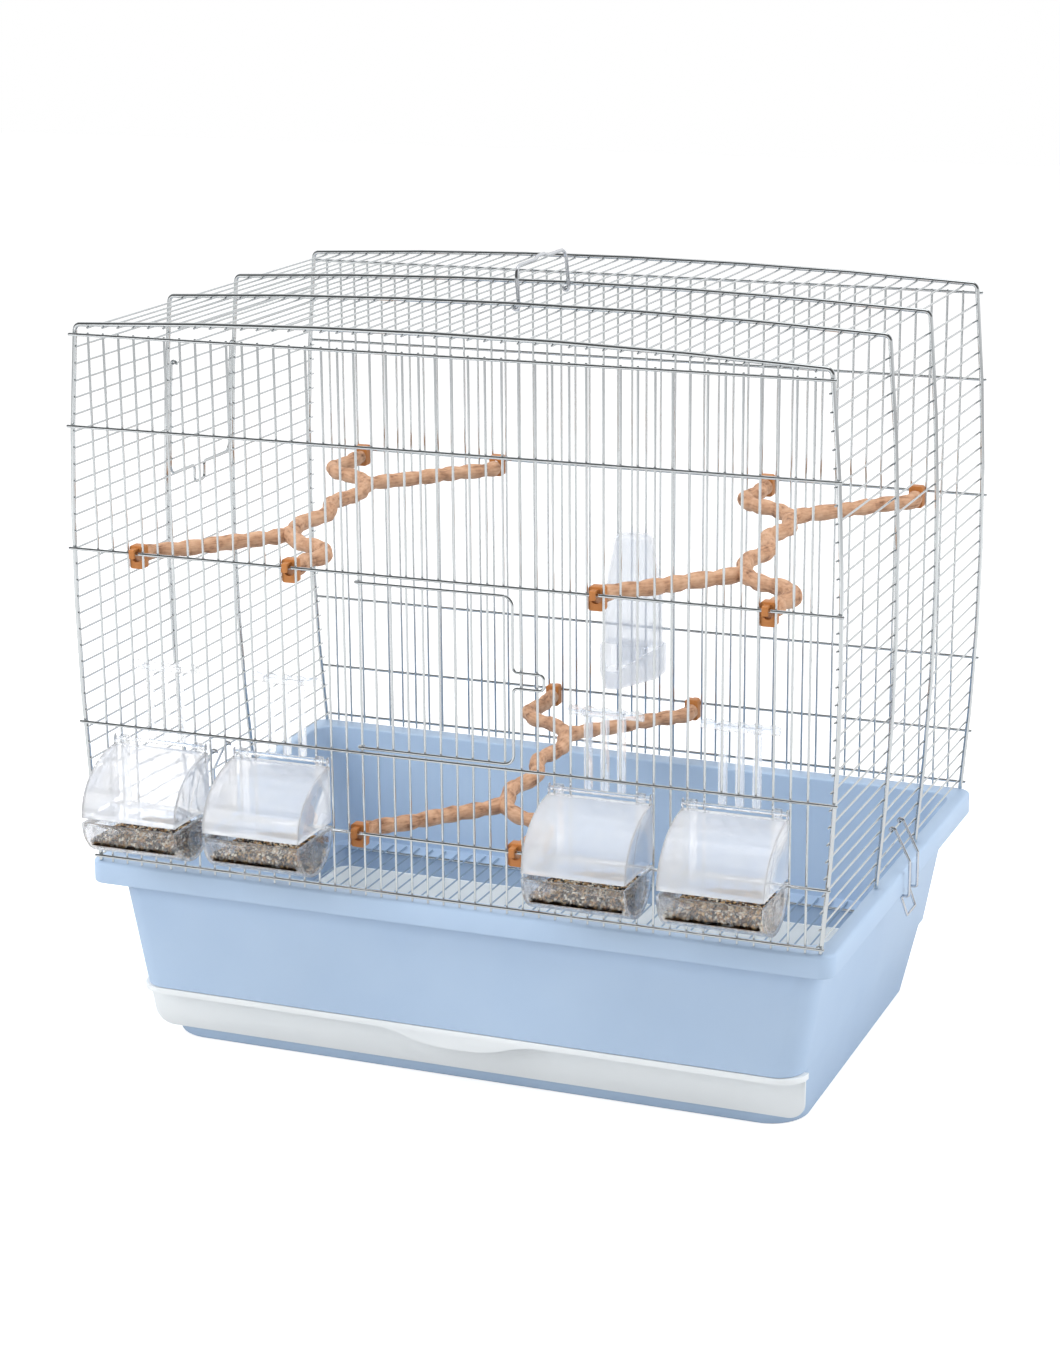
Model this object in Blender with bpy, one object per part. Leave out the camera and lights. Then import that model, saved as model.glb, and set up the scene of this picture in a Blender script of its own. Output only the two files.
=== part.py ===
"""Bird cage: a wire cage on a moulded base, with a slide-out drawer and a floor grille.

A front door, a side door, a roof handle and two side latches swing on wires of the cage.
Four clear feeders with lifting hoods and sliding combs hang outside the front.
Three branch perches in clips and a drinker on the back panel stand inside.
Metres, +Z up, origin on the floor at the middle of the base, front towards -Y.
"""
from math import cos, pi, radians, sin

import bmesh
import bpy
from mathutils import Vector

# Clearances shared by the whole cage
FIT_GAP = 0.0003          # between two pieces that touch or run on each other
WELD_SINK = 0.0003        # how deep two welded wires share their metal
JOIN = 0.0006             # overlap of two shapes fused into one moulding
OVERRUN = 0.004           # how far a cutter runs past what it cuts

# Wire sizes
WIRE_RADIUS = 0.0009      # upright wires of the front and back
THIN_RADIUS = 0.00075     # wires of the sides, roof and floor grille
RAIL_RADIUS = 0.0012      # level rails of the front and back
HOOP_RADIUS = 0.0017      # four hoops over the cage
DOOR_RADIUS = 0.0011      # frames of the two doors
LATCH_RADIUS = 0.0011
HANDLE_RADIUS = 0.0014
BENT_WIRE_SIDES = 6       # of the handle and latches; the welded wires have four

# Wire grid
WIRE_PITCH = 0.0122
SIDE_PITCH = 0.0123
SIDE_FIRST_RISE = 0.0062  # lowest side wire above the rim
FLOOR_END_MARGIN = 0.0100 # floor grille's end wires inside the ledge's ends

# Hoops
HOOP_END_Y = 0.196        # front and back hoops
HOOP_MID_Y = 0.055        # two middle hoops
SIDE_BULGE_X = 0.2894     # widest half width of a hoop
SIDE_BULGE_Z = 0.355
SIDE_ARC_RADIUS = 2.04
ROOF_TOP_Z = 0.5630
ROOF_ARC_RADIUS = 4.98
ROOF_CORNER_RADIUS = 0.008
ROOF_SPLIT_Z = 0.5450     # joint between a hoop's upright and its roof stretch
SIDE_SEGMENTS = 6
ROOF_SEGMENTS = 6
CORNER_SEGMENTS = 2

# Rails of the front and back, top to bottom
RAIL_TOP_Z = 0.5480
RAIL_UPPER_Z = 0.4813
RAIL_PERCH_Z = 0.3911
RAIL_FEEDER_Z = 0.2600
RAIL_LOW_Z = 0.1994
RAIL_BOTTOM_Z = 0.1565
RAIL_PAST_HOOP = 0.0028
WIRE_PAST_RAIL = 0.0005

# Base
RIM_TOP_Z = 0.1515
RIM_PAST_HOOP_X = 0.0092  # the rim stands this far outside the hoops' middles
RIM_PAST_HOOP_Y = 0.0035
RIM_CORNER = 0.012
RIM_EDGE = 0.0013
LIP_DROP = 0.0170
LIP_WALL = 0.0025
BASE_WALL = 0.0025
RIM_SHELF_X = 0.0100      # rim outside the walls
RIM_SHELF_Y = 0.0161
WALL_LEAN_X = 0.0185      # walls at the rim outside their foot at the ledge
WALL_LEAN_Y = 0.0024
BODY_CORNER = 0.020
LEDGE_Z = 0.0495
LEDGE_STEP = 0.0005
LEDGE_DEPTH = 0.0190      # front and back ledges that carry the floor grille
WELL_TOP_CORNER = 0.010
WELL_LEAN_X = 0.0080
WELL_LEAN_Y = 0.0090
FOOT_CORNER = 0.030
BASE_FLOOR = 0.0030
RUNNER_HEIGHT = 0.0061
RUNNER_WIDTH = 0.006
RUNNER_INSET = 0.052      # runners inside the foot's edge
BOX_SEGMENTS = 3

# Drawer
TRAY_INSET_X = 0.0070     # tray inside the foot's edge
TRAY_INSET_Y = 0.0090
TRAY_HEIGHT = 0.0310
TRAY_WALL = 0.0020
TRAY_CORNER = 0.012
TRAY_DRAFT = 0.0010
FACE_WALL = 0.0025
FACE_PROUD = 0.0008       # face past the walls' foot
FACE_LEAN = 0.0023
FACE_CORNER = 0.013
FLANGE_PROUD_X = 0.0025
FLANGE_PROUD_Y = 0.0002
FLANGE_CORNER = 0.020
FLANGE_THICK = 0.0045
FLANGE_GAP = 0.0008
PULL_DROP = 0.0098
PULL_HALF_WIDTH = 0.0250
PULL_SWEEP = 0.0400
PULL_WALL = 0.0022
PULL_STEPS = 5

# Front door
DOOR_HINGE_WIRE = -5
DOOR_WIRES_EACH_SIDE = 4
DOOR_TOP_DROP = 0.0061    # below the perch rail
DOOR_LOW_RISE = 0.0040    # above the feeder rail
DOOR_RIGHT_X = 0.0560
DOOR_CORNER = 0.007
TONGUE_TOP_Z = 0.3310
TONGUE_LOW_Z = 0.3195
TONGUE_X = 0.0790
BEND_RADIUS = 0.0035
BEND_SEGMENTS = 3
HOOK_DEGREES = 200

# Side door, on the left panel between the middle hoops
SIDE_DOOR_HINGE_LEVEL = 28
SIDE_DOOR_LOW_LEVEL = 21
SIDE_DOOR_INSET = 0.0060  # door frame inside the middle hoops
SIDE_DOOR_CORNER = 0.007
SIDE_TONGUE_HALF_WIDTH = 0.0080
SIDE_TONGUE_Y = -0.0020
SIDE_TONGUE_PAST_WIRE = 0.0015
CUT_WIRE_SHORT = 0.0008   # a cut wire stops this far past the last hoop or rail that holds it

# Roof handle
HANDLE_INSET = 0.0050     # handle's legs inside the middle hoops
HANDLE_RISE = 0.0285      # above its hinge
HANDLE_KINK = 0.0020
HANDLE_KINK_HALF = 0.0060
HANDLE_CORNER = 0.009

# Side latches
LATCH_LEVEL = 2
LATCH_HALF_WIDTH = 0.0115
LATCH_PROUD = 0.0040      # latch wire outside the rim
LATCH_UNDER_LIP = 0.0022
LATCH_PLAY = 0.0006
LATCH_TAB_DROP = 0.0165   # tab below the lip
LATCH_TAB_PROUD = 0.0030
LATCH_BEND = 0.0018

# Feeders
FEEDER_FROM_END = (4, 12)  # wires between a feeder's middle and the end wire
FEEDER_WIDTH = 0.0760
FEEDER_WALL = 0.0016
FEEDER_RADIUS = 0.0285
FEEDER_RIM_Z = 0.2035
FEEDER_SEGMENTS = 8
BOSS_RADIUS = 0.0090
BOSS_PROUD = 0.0012
BOSS_DROP = 0.0125
BOSS_SIDES = 8
ARM_WIDTH = 0.0050
ARM_WALL = 0.0020
ARM_INSET = 0.0038
ARM_ROOT = 0.0070
HOOD_BAR_Z = 0.2525
HOOD_BAR_RADIUS = 0.0016
HOOD_LOW_Z = 0.2068
HOOD_SEGMENTS = 6
HOOD_LUG_RADIUS = 0.0034
EYE_DEGREES = 230
EYE_SEGMENTS = 5
FEEDER_HOOK_WIDTH = 0.0060
FEEDER_HOOK_WALL = 0.0015
FEEDER_HOOK_DROP = 0.0040
SEED_TOP_Z = 0.1990

# Combs that close the feeding gaps
COMB_TOP_Z = 0.3110
COMB_BAR_HEIGHT = 0.0070
COMB_HALF_WIDTH = 0.0285
COMB_WALL = 0.0026
COMB_SCALLOP = 0.0020
COMB_SCALLOPS = 5
COMB_SCALLOP_STEPS = 2
PRONG_WIDTH = 0.0060
PRONG_TIP_Z = 0.2500
GUIDE_HEIGHT = 0.0045
GUIDE_WALL = 0.0012
GUIDE_PAST_WIRE = 0.0035
BORE_SIDES = 6

# Perches and their clips
PERCH_FROM_END = 7.5      # wires between an upper perch's middle and the end wire
PERCH_LOW_WIRE = -0.5
PERCH_SPAN_WIRES = 5      # a limb's end stands this many wires beside the perch's middle
PERCH_DROP = 0.0040       # perch axis below the rail that carries its clip
PERCH_RADIUS = 0.0055
PERCH_SIDES = 6
STUB_RADIUS = 0.0034
STUB_LENGTH = 0.0050
CLIP_WIDTH = 0.0112
CLIP_DEPTH = 0.0080
CLIP_HEIGHT = 0.0172
CLIP_ABOVE_RAIL = 0.0052
CLIP_TAB_WIDTH = 0.0044
CLIP_TAB_WALL = 0.0022
CLIP_TAB_DROP = 0.0030
SOCKET_SIDES = 6

# Drinker
DRINKER_WIRE = 0.5        # between the middle wire and the next
BOTTLE_TOP_HALF_WIDTH = 0.0150
BOTTLE_LOW_HALF_WIDTH = 0.0248
BOTTLE_DEPTH = 0.0240
BOTTLE_WALL = 0.0016
BOTTLE_LOW_Z = 0.2275
BOTTLE_SHOULDER_Z = 0.2900
BOTTLE_TOP_Z = 0.3410
BOTTLE_EDGE = 0.0040
NECK_HALF_WIDTH = 0.0120
NECK_DEPTH = 0.0130
NECK_DROP = 0.0100
TROUGH_LOW_Z = 0.2130
TROUGH_REACH = 0.0562     # in front of the bottle's back
TROUGH_HALF_WIDTH = 0.0150
TROUGH_WALL = 0.0016
TROUGH_SEGMENTS = 6
LUG_WIDTH = 0.0060
LUG_WALL = 0.0018
LUG_DROP = 0.0060

# What follows from the sizes above
WELD_STEP = WELD_SINK + FIT_GAP
RAIL_WELD_Y = HOOP_END_Y + HOOP_RADIUS + FIT_GAP + RAIL_RADIUS
WIRE_Y = RAIL_WELD_Y - (RAIL_RADIUS + WIRE_RADIUS - WELD_SINK)
RAIL_PASS_Y = WIRE_Y + RAIL_RADIUS + WIRE_RADIUS + FIT_GAP
RAIL_OUTER_Y = RAIL_PASS_Y + RAIL_RADIUS
CAGE_LOW_Z = RIM_TOP_Z + FIT_GAP
THIN_SEAT = HOOP_RADIUS + THIN_RADIUS + FIT_GAP
SIDE_FIRST_Z = RIM_TOP_Z + SIDE_FIRST_RISE
SIDE_WIRES = int((ROOF_SPLIT_Z - SIDE_FIRST_Z) / SIDE_PITCH) + 1
HOOP_FOOT_X = SIDE_BULGE_X - (CAGE_LOW_Z - SIDE_BULGE_Z) ** 2 / (2 * SIDE_ARC_RADIUS)
RIM_HALF_WIDTH = HOOP_FOOT_X + RIM_PAST_HOOP_X
RIM_HALF_DEPTH = HOOP_END_Y + RIM_PAST_HOOP_Y
BODY_TOP_HALF_WIDTH = RIM_HALF_WIDTH - RIM_SHELF_X
BODY_TOP_HALF_DEPTH = RIM_HALF_DEPTH - RIM_SHELF_Y
BODY_LOW_HALF_WIDTH = BODY_TOP_HALF_WIDTH - WALL_LEAN_X
BODY_LOW_HALF_DEPTH = BODY_TOP_HALF_DEPTH - WALL_LEAN_Y
WELL_TOP_HALF_DEPTH = BODY_LOW_HALF_DEPTH - LEDGE_DEPTH
FOOT_HALF_WIDTH = BODY_LOW_HALF_WIDTH - WELL_LEAN_X
FOOT_HALF_DEPTH = WELL_TOP_HALF_DEPTH - WELL_LEAN_Y
FLOOR_WIRES_EACH_SIDE = int((BODY_LOW_HALF_WIDTH - FLOOR_END_MARGIN) / WIRE_PITCH)
RUNNER_X = FOOT_HALF_WIDTH - RUNNER_INSET
TRAY_HALF_WIDTH = FOOT_HALF_WIDTH - TRAY_INSET_X
TRAY_BACK_Y = FOOT_HALF_DEPTH - TRAY_INSET_Y
FACE_TOP_HALF_WIDTH = BODY_LOW_HALF_WIDTH + FACE_PROUD
FACE_LOW_HALF_WIDTH = FACE_TOP_HALF_WIDTH - FACE_LEAN
FLANGE_HALF_WIDTH = BODY_LOW_HALF_WIDTH + FLANGE_PROUD_X
FLANGE_FRONT_Y = BODY_LOW_HALF_DEPTH + FLANGE_PROUD_Y
SIDE_DOOR_HALF_WIDTH = HOOP_MID_Y - SIDE_DOOR_INSET
HANDLE_HALF_LENGTH = HOOP_MID_Y - HANDLE_INSET
LATCH_BULGE_X = RIM_HALF_WIDTH + LATCH_PROUD
LATCH_TAB_X = RIM_HALF_WIDTH + LATCH_TAB_PROUD
RUNNER_TOP_Z = BASE_FLOOR + RUNNER_HEIGHT
TRAY_LOW_Z = RUNNER_TOP_Z + FIT_GAP
LEDGE_TOP_Z = LEDGE_Z + BASE_WALL
FLANGE_TOP_Z = LEDGE_Z - FLANGE_GAP
FLANGE_LOW_Z = FLANGE_TOP_Z - FLANGE_THICK
LIP_LOW_Z = RIM_TOP_Z - LIP_DROP
LATCH_TAB_Z = LIP_LOW_Z - LATCH_TAB_DROP
BOX_AXES = (Vector((1, 0, 0)), Vector((0, 1, 0)), Vector((0, 0, 1)))
X_AXIS, Y_AXIS, Z_AXIS = BOX_AXES


# Scene and materials

for old in list(bpy.data.objects):
    bpy.data.objects.remove(old, do_unlink=True)

ROOT = bpy.data.objects.new("bird_cage", None)
bpy.context.scene.collection.objects.link(ROOT)


def paint(name, colour, roughness, metallic=0.0, clear=0.0):
    made = bpy.data.materials.new(name)
    made.use_nodes = True
    shader = made.node_tree.nodes["Principled BSDF"]
    shader.inputs["Base Color"].default_value = (*colour, 1.0)
    shader.inputs["Roughness"].default_value = roughness
    shader.inputs["Metallic"].default_value = metallic
    shader.inputs["Transmission Weight"].default_value = clear
    made.diffuse_color = (*colour, 1.0)
    return made


WHITE_WIRE = paint("white_coated_wire", (0.80, 0.82, 0.84), 0.30, 0.35)
ZINC_WIRE = paint("zinc_wire", (0.62, 0.63, 0.66), 0.25, 1.0)
BLUE_PLASTIC = paint("blue_plastic", (0.43, 0.56, 0.76), 0.42)
WHITE_PLASTIC = paint("white_plastic", (0.82, 0.85, 0.86), 0.40)
CLEAR_PLASTIC = paint("clear_plastic", (0.93, 0.95, 0.97), 0.12, 0.0, 0.85)
MILKY_PLASTIC = paint("milky_plastic", (0.80, 0.84, 0.92), 0.30, 0.0, 0.60)
BROWN_PLASTIC = paint("brown_plastic", (0.56, 0.27, 0.09), 0.50)
PERCH_WOOD = paint("perch_wood", (0.60, 0.39, 0.24), 0.70)
SEED_MIX = paint("seed_mix", (0.16, 0.13, 0.10), 0.80)


# Building tools

def add_object(name, bm, material, origin=(0.0, 0.0, 0.0), helper=False):
    """Makes an object from a bmesh in world space, with its origin where it turns or slides."""
    bmesh.ops.recalc_face_normals(bm, faces=bm.faces)
    place = Vector(origin)
    bmesh.ops.translate(bm, verts=bm.verts, vec=-place)
    mesh = bpy.data.meshes.new(name)
    bm.to_mesh(mesh)
    bm.free()
    mesh.materials.append(material)
    mesh.shade_smooth()
    mesh.set_sharp_from_angle(angle=radians(35))
    made = bpy.data.objects.new(name, mesh)
    made.location = place
    made.parent = ROOT
    bpy.context.scene.collection.objects.link(made)
    if helper:
        made.hide_render = True
        made.display_type = "WIRE"
    return made


def boolean(target, operation, name, bm, material):
    """Joins or cuts a target by a hidden helper built from a bmesh."""
    other = add_object(name, bm, material, helper=True)
    step = target.modifiers.new(name, "BOOLEAN")
    step.operation = operation
    step.solver = "EXACT"
    step.object = other
    return step


def add_ring(bm, points):
    return [bm.verts.new(p) for p in points]


def bridge(bm, first, second):
    count = len(first)
    for i in range(count):
        j = (i + 1) % count
        bm.faces.new((first[i], first[j], second[j], second[i]))


def add_loft(bm, rings):
    """Skins closed rings of equal point counts, with a flat cap on each end."""
    made = [add_ring(bm, ring) for ring in rings]
    for first, second in zip(made, made[1:]):
        bridge(bm, first, second)
    bm.faces.new(made[0][::-1])
    bm.faces.new(made[-1])
    return made


def add_prism(bm, outline, axis, start, end):
    """Extrudes an outline. Axis X takes (y, z) points, Y takes (x, z) and Z takes (x, y)."""
    def place(point, along):
        a, b = point
        return ((along, a, b), (a, along, b), (a, b, along))[axis]
    add_loft(bm, [[place(p, start) for p in outline], [place(p, end) for p in outline]])


def add_box(bm, low, high):
    outline = [(low[0], low[1]), (high[0], low[1]), (high[0], high[1]), (low[0], high[1])]
    add_prism(bm, outline, 2, low[2], high[2])


def rounded_rect(half_x, half_y, radius, z, middle=(0.0, 0.0), segments=BOX_SEGMENTS):
    radius = min(radius, half_x, half_y)
    points = []
    for quarter, (sx, sy) in enumerate(((1, 1), (-1, 1), (-1, -1), (1, -1))):
        for step in range(segments + 1):
            turn = (quarter + step / segments) * pi / 2
            points.append((middle[0] + sx * (half_x - radius) + radius * cos(turn),
                           middle[1] + sy * (half_y - radius) + radius * sin(turn), z))
    return points


def disc(centre, radius, sides, axis, along):
    """A ring of points round an axis, for a pin or a bore."""
    points = []
    for i in range(sides):
        turn = 2 * pi * (i + 0.5) / sides
        a = centre[0] + radius * cos(turn)
        b = centre[1] + radius * sin(turn)
        points.append(((along, a, b), (a, along, b), (a, b, along))[axis])
    return points


def add_pin(bm, centre, radius, sides, axis, start, end):
    add_loft(bm, [disc(centre, radius, sides, axis, start), disc(centre, radius, sides, axis, end)])


def add_rod(bm, path, radius, up, sides=4):
    """Sweeps a wire along a path with mitred bends. The section has a ridge towards up."""
    path = [Vector(p) for p in path]
    runs = [(b - a).normalized() for a, b in zip(path, path[1:])]
    ridge = (Vector(up) - runs[0] * runs[0].dot(Vector(up))).normalized()
    rings = []
    for i, point in enumerate(path):
        before = runs[max(i - 1, 0)]
        after = runs[min(i, len(runs) - 1)]
        across = before.cross(ridge)
        mitre = (before + after).normalized()
        ring = []
        for k in range(sides):
            turn = 2 * pi * k / sides
            spot = (ridge * cos(turn) + across * sin(turn)) * radius
            ring.append(point + spot - before * (spot.dot(mitre) / before.dot(mitre)))
        rings.append(ring)
        ridge = before.rotation_difference(after) @ ridge
    add_loft(bm, rings)


def rounded_path(points, radius, segments):
    """Replaces each inner corner of a path by an arc."""
    points = [Vector(p) for p in points]
    path = [points[0]]
    for before, corner, after in zip(points, points[1:], points[2:]):
        u = (before - corner).normalized()
        v = (after - corner).normalized()
        half = u.angle(v) / 2
        reach = radius * cos(half) / sin(half)
        middle = corner + (u + v).normalized() * (radius / sin(half))
        start = corner + u * reach
        end = corner + v * reach
        for step in range(segments + 1):
            share = step / segments
            chord = start.lerp(end, share) - middle
            path.append(middle + chord.normalized() * radius)
    path.append(points[-1])
    return path


def hook_path(centre, radius, start_turn, sweep, steps, across, along):
    """Points of an eye bent round a wire, in the plane of two given directions."""
    return [Vector(centre) + across * (radius * cos(start_turn + sweep * i / steps))
            + along * (radius * sin(start_turn + sweep * i / steps)) for i in range(steps + 1)]


def wire_panel(name, wires, rails, origin=(0.0, 0.0, 0.0), material=WHITE_WIRE):
    """Welds one set of wires to one set of rails. Each wire is a path, a radius and a ridge."""
    bm = bmesh.new()
    for path, radius, up in wires:
        add_rod(bm, path, radius, up)
    panel = add_object(name, bm, material, origin)
    bm = bmesh.new()
    for path, radius, up in rails:
        add_rod(bm, path, radius, up)
    boolean(panel, "UNION", name + "_rails", bm, material)
    return panel


# Lines of the hoops

def side_arc_x(z):
    return SIDE_BULGE_X - (z - SIDE_BULGE_Z) ** 2 / (2 * SIDE_ARC_RADIUS)


def roof_arc_z(x):
    return ROOF_TOP_Z - x ** 2 / (2 * ROOF_ARC_RADIUS)


def spread(low, high, count):
    return [low + (high - low) * i / count for i in range(count + 1)]


def between(knots, value):
    """Reads a line through (value, result) knots."""
    for (a, fa), (b, fb) in zip(knots, knots[1:]):
        if value <= b or (b, fb) == knots[-1]:
            return fa + (fb - fa) * (value - a) / (b - a)


ROOF_CORNER_Z = roof_arc_z(side_arc_x(ROOF_SPLIT_Z))
ROOF_CORNER_X = side_arc_x(ROOF_CORNER_Z)
ROOF_ARC_X = ROOF_CORNER_X - ROOF_CORNER_RADIUS
WIRES_EACH_SIDE = int(ROOF_ARC_X / WIRE_PITCH)
PANEL_WIRES = range(-WIRES_EACH_SIDE, WIRES_EACH_SIDE + 1)
OUTER_FEEDER, INNER_FEEDER = [WIRES_EACH_SIDE - wires for wires in FEEDER_FROM_END]
FEEDER_WIRES = (-OUTER_FEEDER, -INNER_FEEDER, INNER_FEEDER, OUTER_FEEDER)
PERCH_PLACES = (("perch_left", PERCH_FROM_END - WIRES_EACH_SIDE, RAIL_PERCH_Z),
                ("perch_right", WIRES_EACH_SIDE - PERCH_FROM_END, RAIL_PERCH_Z),
                ("perch_low", PERCH_LOW_WIRE, RAIL_LOW_Z))
SIDE_KNOTS = [(z, side_arc_x(z)) for z in spread(CAGE_LOW_Z, ROOF_SPLIT_Z, SIDE_SEGMENTS)]
ROOF_KNOTS = [(x, roof_arc_z(x)) for x in spread(-ROOF_ARC_X, ROOF_ARC_X, ROOF_SEGMENTS)]


def side_x(z):
    return between(SIDE_KNOTS, z)


def roof_z(x):
    return between(ROOF_KNOTS, x)


def side_wire_z(level):
    return SIDE_FIRST_Z + SIDE_PITCH * level


# Base: walls, ledge, lip and well in one ring loft, then the drawer's slot and runners

def body_half_width(z):
    share = (z - LEDGE_Z) / (RIM_TOP_Z - LEDGE_Z)
    return BODY_LOW_HALF_WIDTH + (BODY_TOP_HALF_WIDTH - BODY_LOW_HALF_WIDTH) * share


def body_half_depth(z):
    share = (z - LEDGE_Z) / (RIM_TOP_Z - LEDGE_Z)
    return BODY_LOW_HALF_DEPTH + (BODY_TOP_HALF_DEPTH - BODY_LOW_HALF_DEPTH) * share


def well_half_width(z):
    return FOOT_HALF_WIDTH + (BODY_LOW_HALF_WIDTH - LEDGE_STEP - FOOT_HALF_WIDTH) * z / LEDGE_Z


def well_half_depth(z):
    return FOOT_HALF_DEPTH + (WELL_TOP_HALF_DEPTH - FOOT_HALF_DEPTH) * z / LEDGE_Z


def well_corner(z):
    return FOOT_CORNER + (WELL_TOP_CORNER - FOOT_CORNER) * z / LEDGE_Z


def make_base():
    under_z = RIM_TOP_Z - BASE_WALL
    lip_x = RIM_HALF_WIDTH - LIP_WALL
    lip_y = RIM_HALF_DEPTH - LIP_WALL
    inner = BODY_CORNER - BASE_WALL
    edge_x = RIM_HALF_WIDTH - RIM_EDGE
    edge_y = RIM_HALF_DEPTH - RIM_EDGE
    rings = [
        rounded_rect(FOOT_HALF_WIDTH, FOOT_HALF_DEPTH, FOOT_CORNER, 0.0),
        rounded_rect(well_half_width(LEDGE_Z), WELL_TOP_HALF_DEPTH, WELL_TOP_CORNER, LEDGE_Z),
        rounded_rect(BODY_LOW_HALF_WIDTH, BODY_LOW_HALF_DEPTH, BODY_CORNER, LEDGE_Z),
        rounded_rect(body_half_width(under_z), body_half_depth(under_z), BODY_CORNER, under_z),
        rounded_rect(lip_x, lip_y, RIM_CORNER - LIP_WALL, under_z),
        rounded_rect(lip_x, lip_y, RIM_CORNER - LIP_WALL, LIP_LOW_Z),
        rounded_rect(RIM_HALF_WIDTH, RIM_HALF_DEPTH, RIM_CORNER, LIP_LOW_Z),
        rounded_rect(RIM_HALF_WIDTH, RIM_HALF_DEPTH, RIM_CORNER, RIM_TOP_Z - RIM_EDGE),
        rounded_rect(edge_x, edge_y, RIM_CORNER - RIM_EDGE, RIM_TOP_Z),
        rounded_rect(BODY_TOP_HALF_WIDTH - BASE_WALL + RIM_EDGE,
                     BODY_TOP_HALF_DEPTH - BASE_WALL + RIM_EDGE, inner + RIM_EDGE, RIM_TOP_Z),
        rounded_rect(body_half_width(RIM_TOP_Z - RIM_EDGE) - BASE_WALL,
                     body_half_depth(RIM_TOP_Z - RIM_EDGE) - BASE_WALL, inner, RIM_TOP_Z - RIM_EDGE),
        rounded_rect(body_half_width(LEDGE_TOP_Z) - BASE_WALL,
                     body_half_depth(LEDGE_TOP_Z) - BASE_WALL, inner, LEDGE_TOP_Z),
        rounded_rect(well_half_width(LEDGE_Z) - BASE_WALL, WELL_TOP_HALF_DEPTH - BASE_WALL,
                     WELL_TOP_CORNER - BASE_WALL, LEDGE_TOP_Z),
        rounded_rect(well_half_width(BASE_FLOOR) - BASE_WALL, well_half_depth(BASE_FLOOR) - BASE_WALL,
                     well_corner(BASE_FLOOR) - BASE_WALL, BASE_FLOOR),
    ]
    bm = bmesh.new()
    add_loft(bm, rings)
    base = add_object("base_tub", bm, BLUE_PLASTIC)

    bm = bmesh.new()
    reach = TRAY_HALF_WIDTH + FIT_GAP
    outline = [(-reach, TRAY_LOW_Z - FIT_GAP), (reach, TRAY_LOW_Z - FIT_GAP),
               (reach, TRAY_LOW_Z + TRAY_HEIGHT + FIT_GAP), (-reach, TRAY_LOW_Z + TRAY_HEIGHT + FIT_GAP)]
    add_prism(bm, outline, 1, -WELL_TOP_HALF_DEPTH - OVERRUN, FOOT_CORNER - FOOT_HALF_DEPTH)
    boolean(base, "DIFFERENCE", "base_drawer_slot", bm, BLUE_PLASTIC)

    bm = bmesh.new()
    front = FOOT_HALF_DEPTH - BASE_WALL - OVERRUN
    back = FOOT_HALF_DEPTH - BASE_WALL - JOIN
    for side in (-1, 1):
        add_box(bm, (side * RUNNER_X - RUNNER_WIDTH / 2, -front, BASE_FLOOR - JOIN),
                (side * RUNNER_X + RUNNER_WIDTH / 2, back, RUNNER_TOP_Z))
    boolean(base, "UNION", "base_runners", bm, BLUE_PLASTIC)
    return base


# Drawer: an open tray behind a leaning face, with a flange and a pull lip

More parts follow.
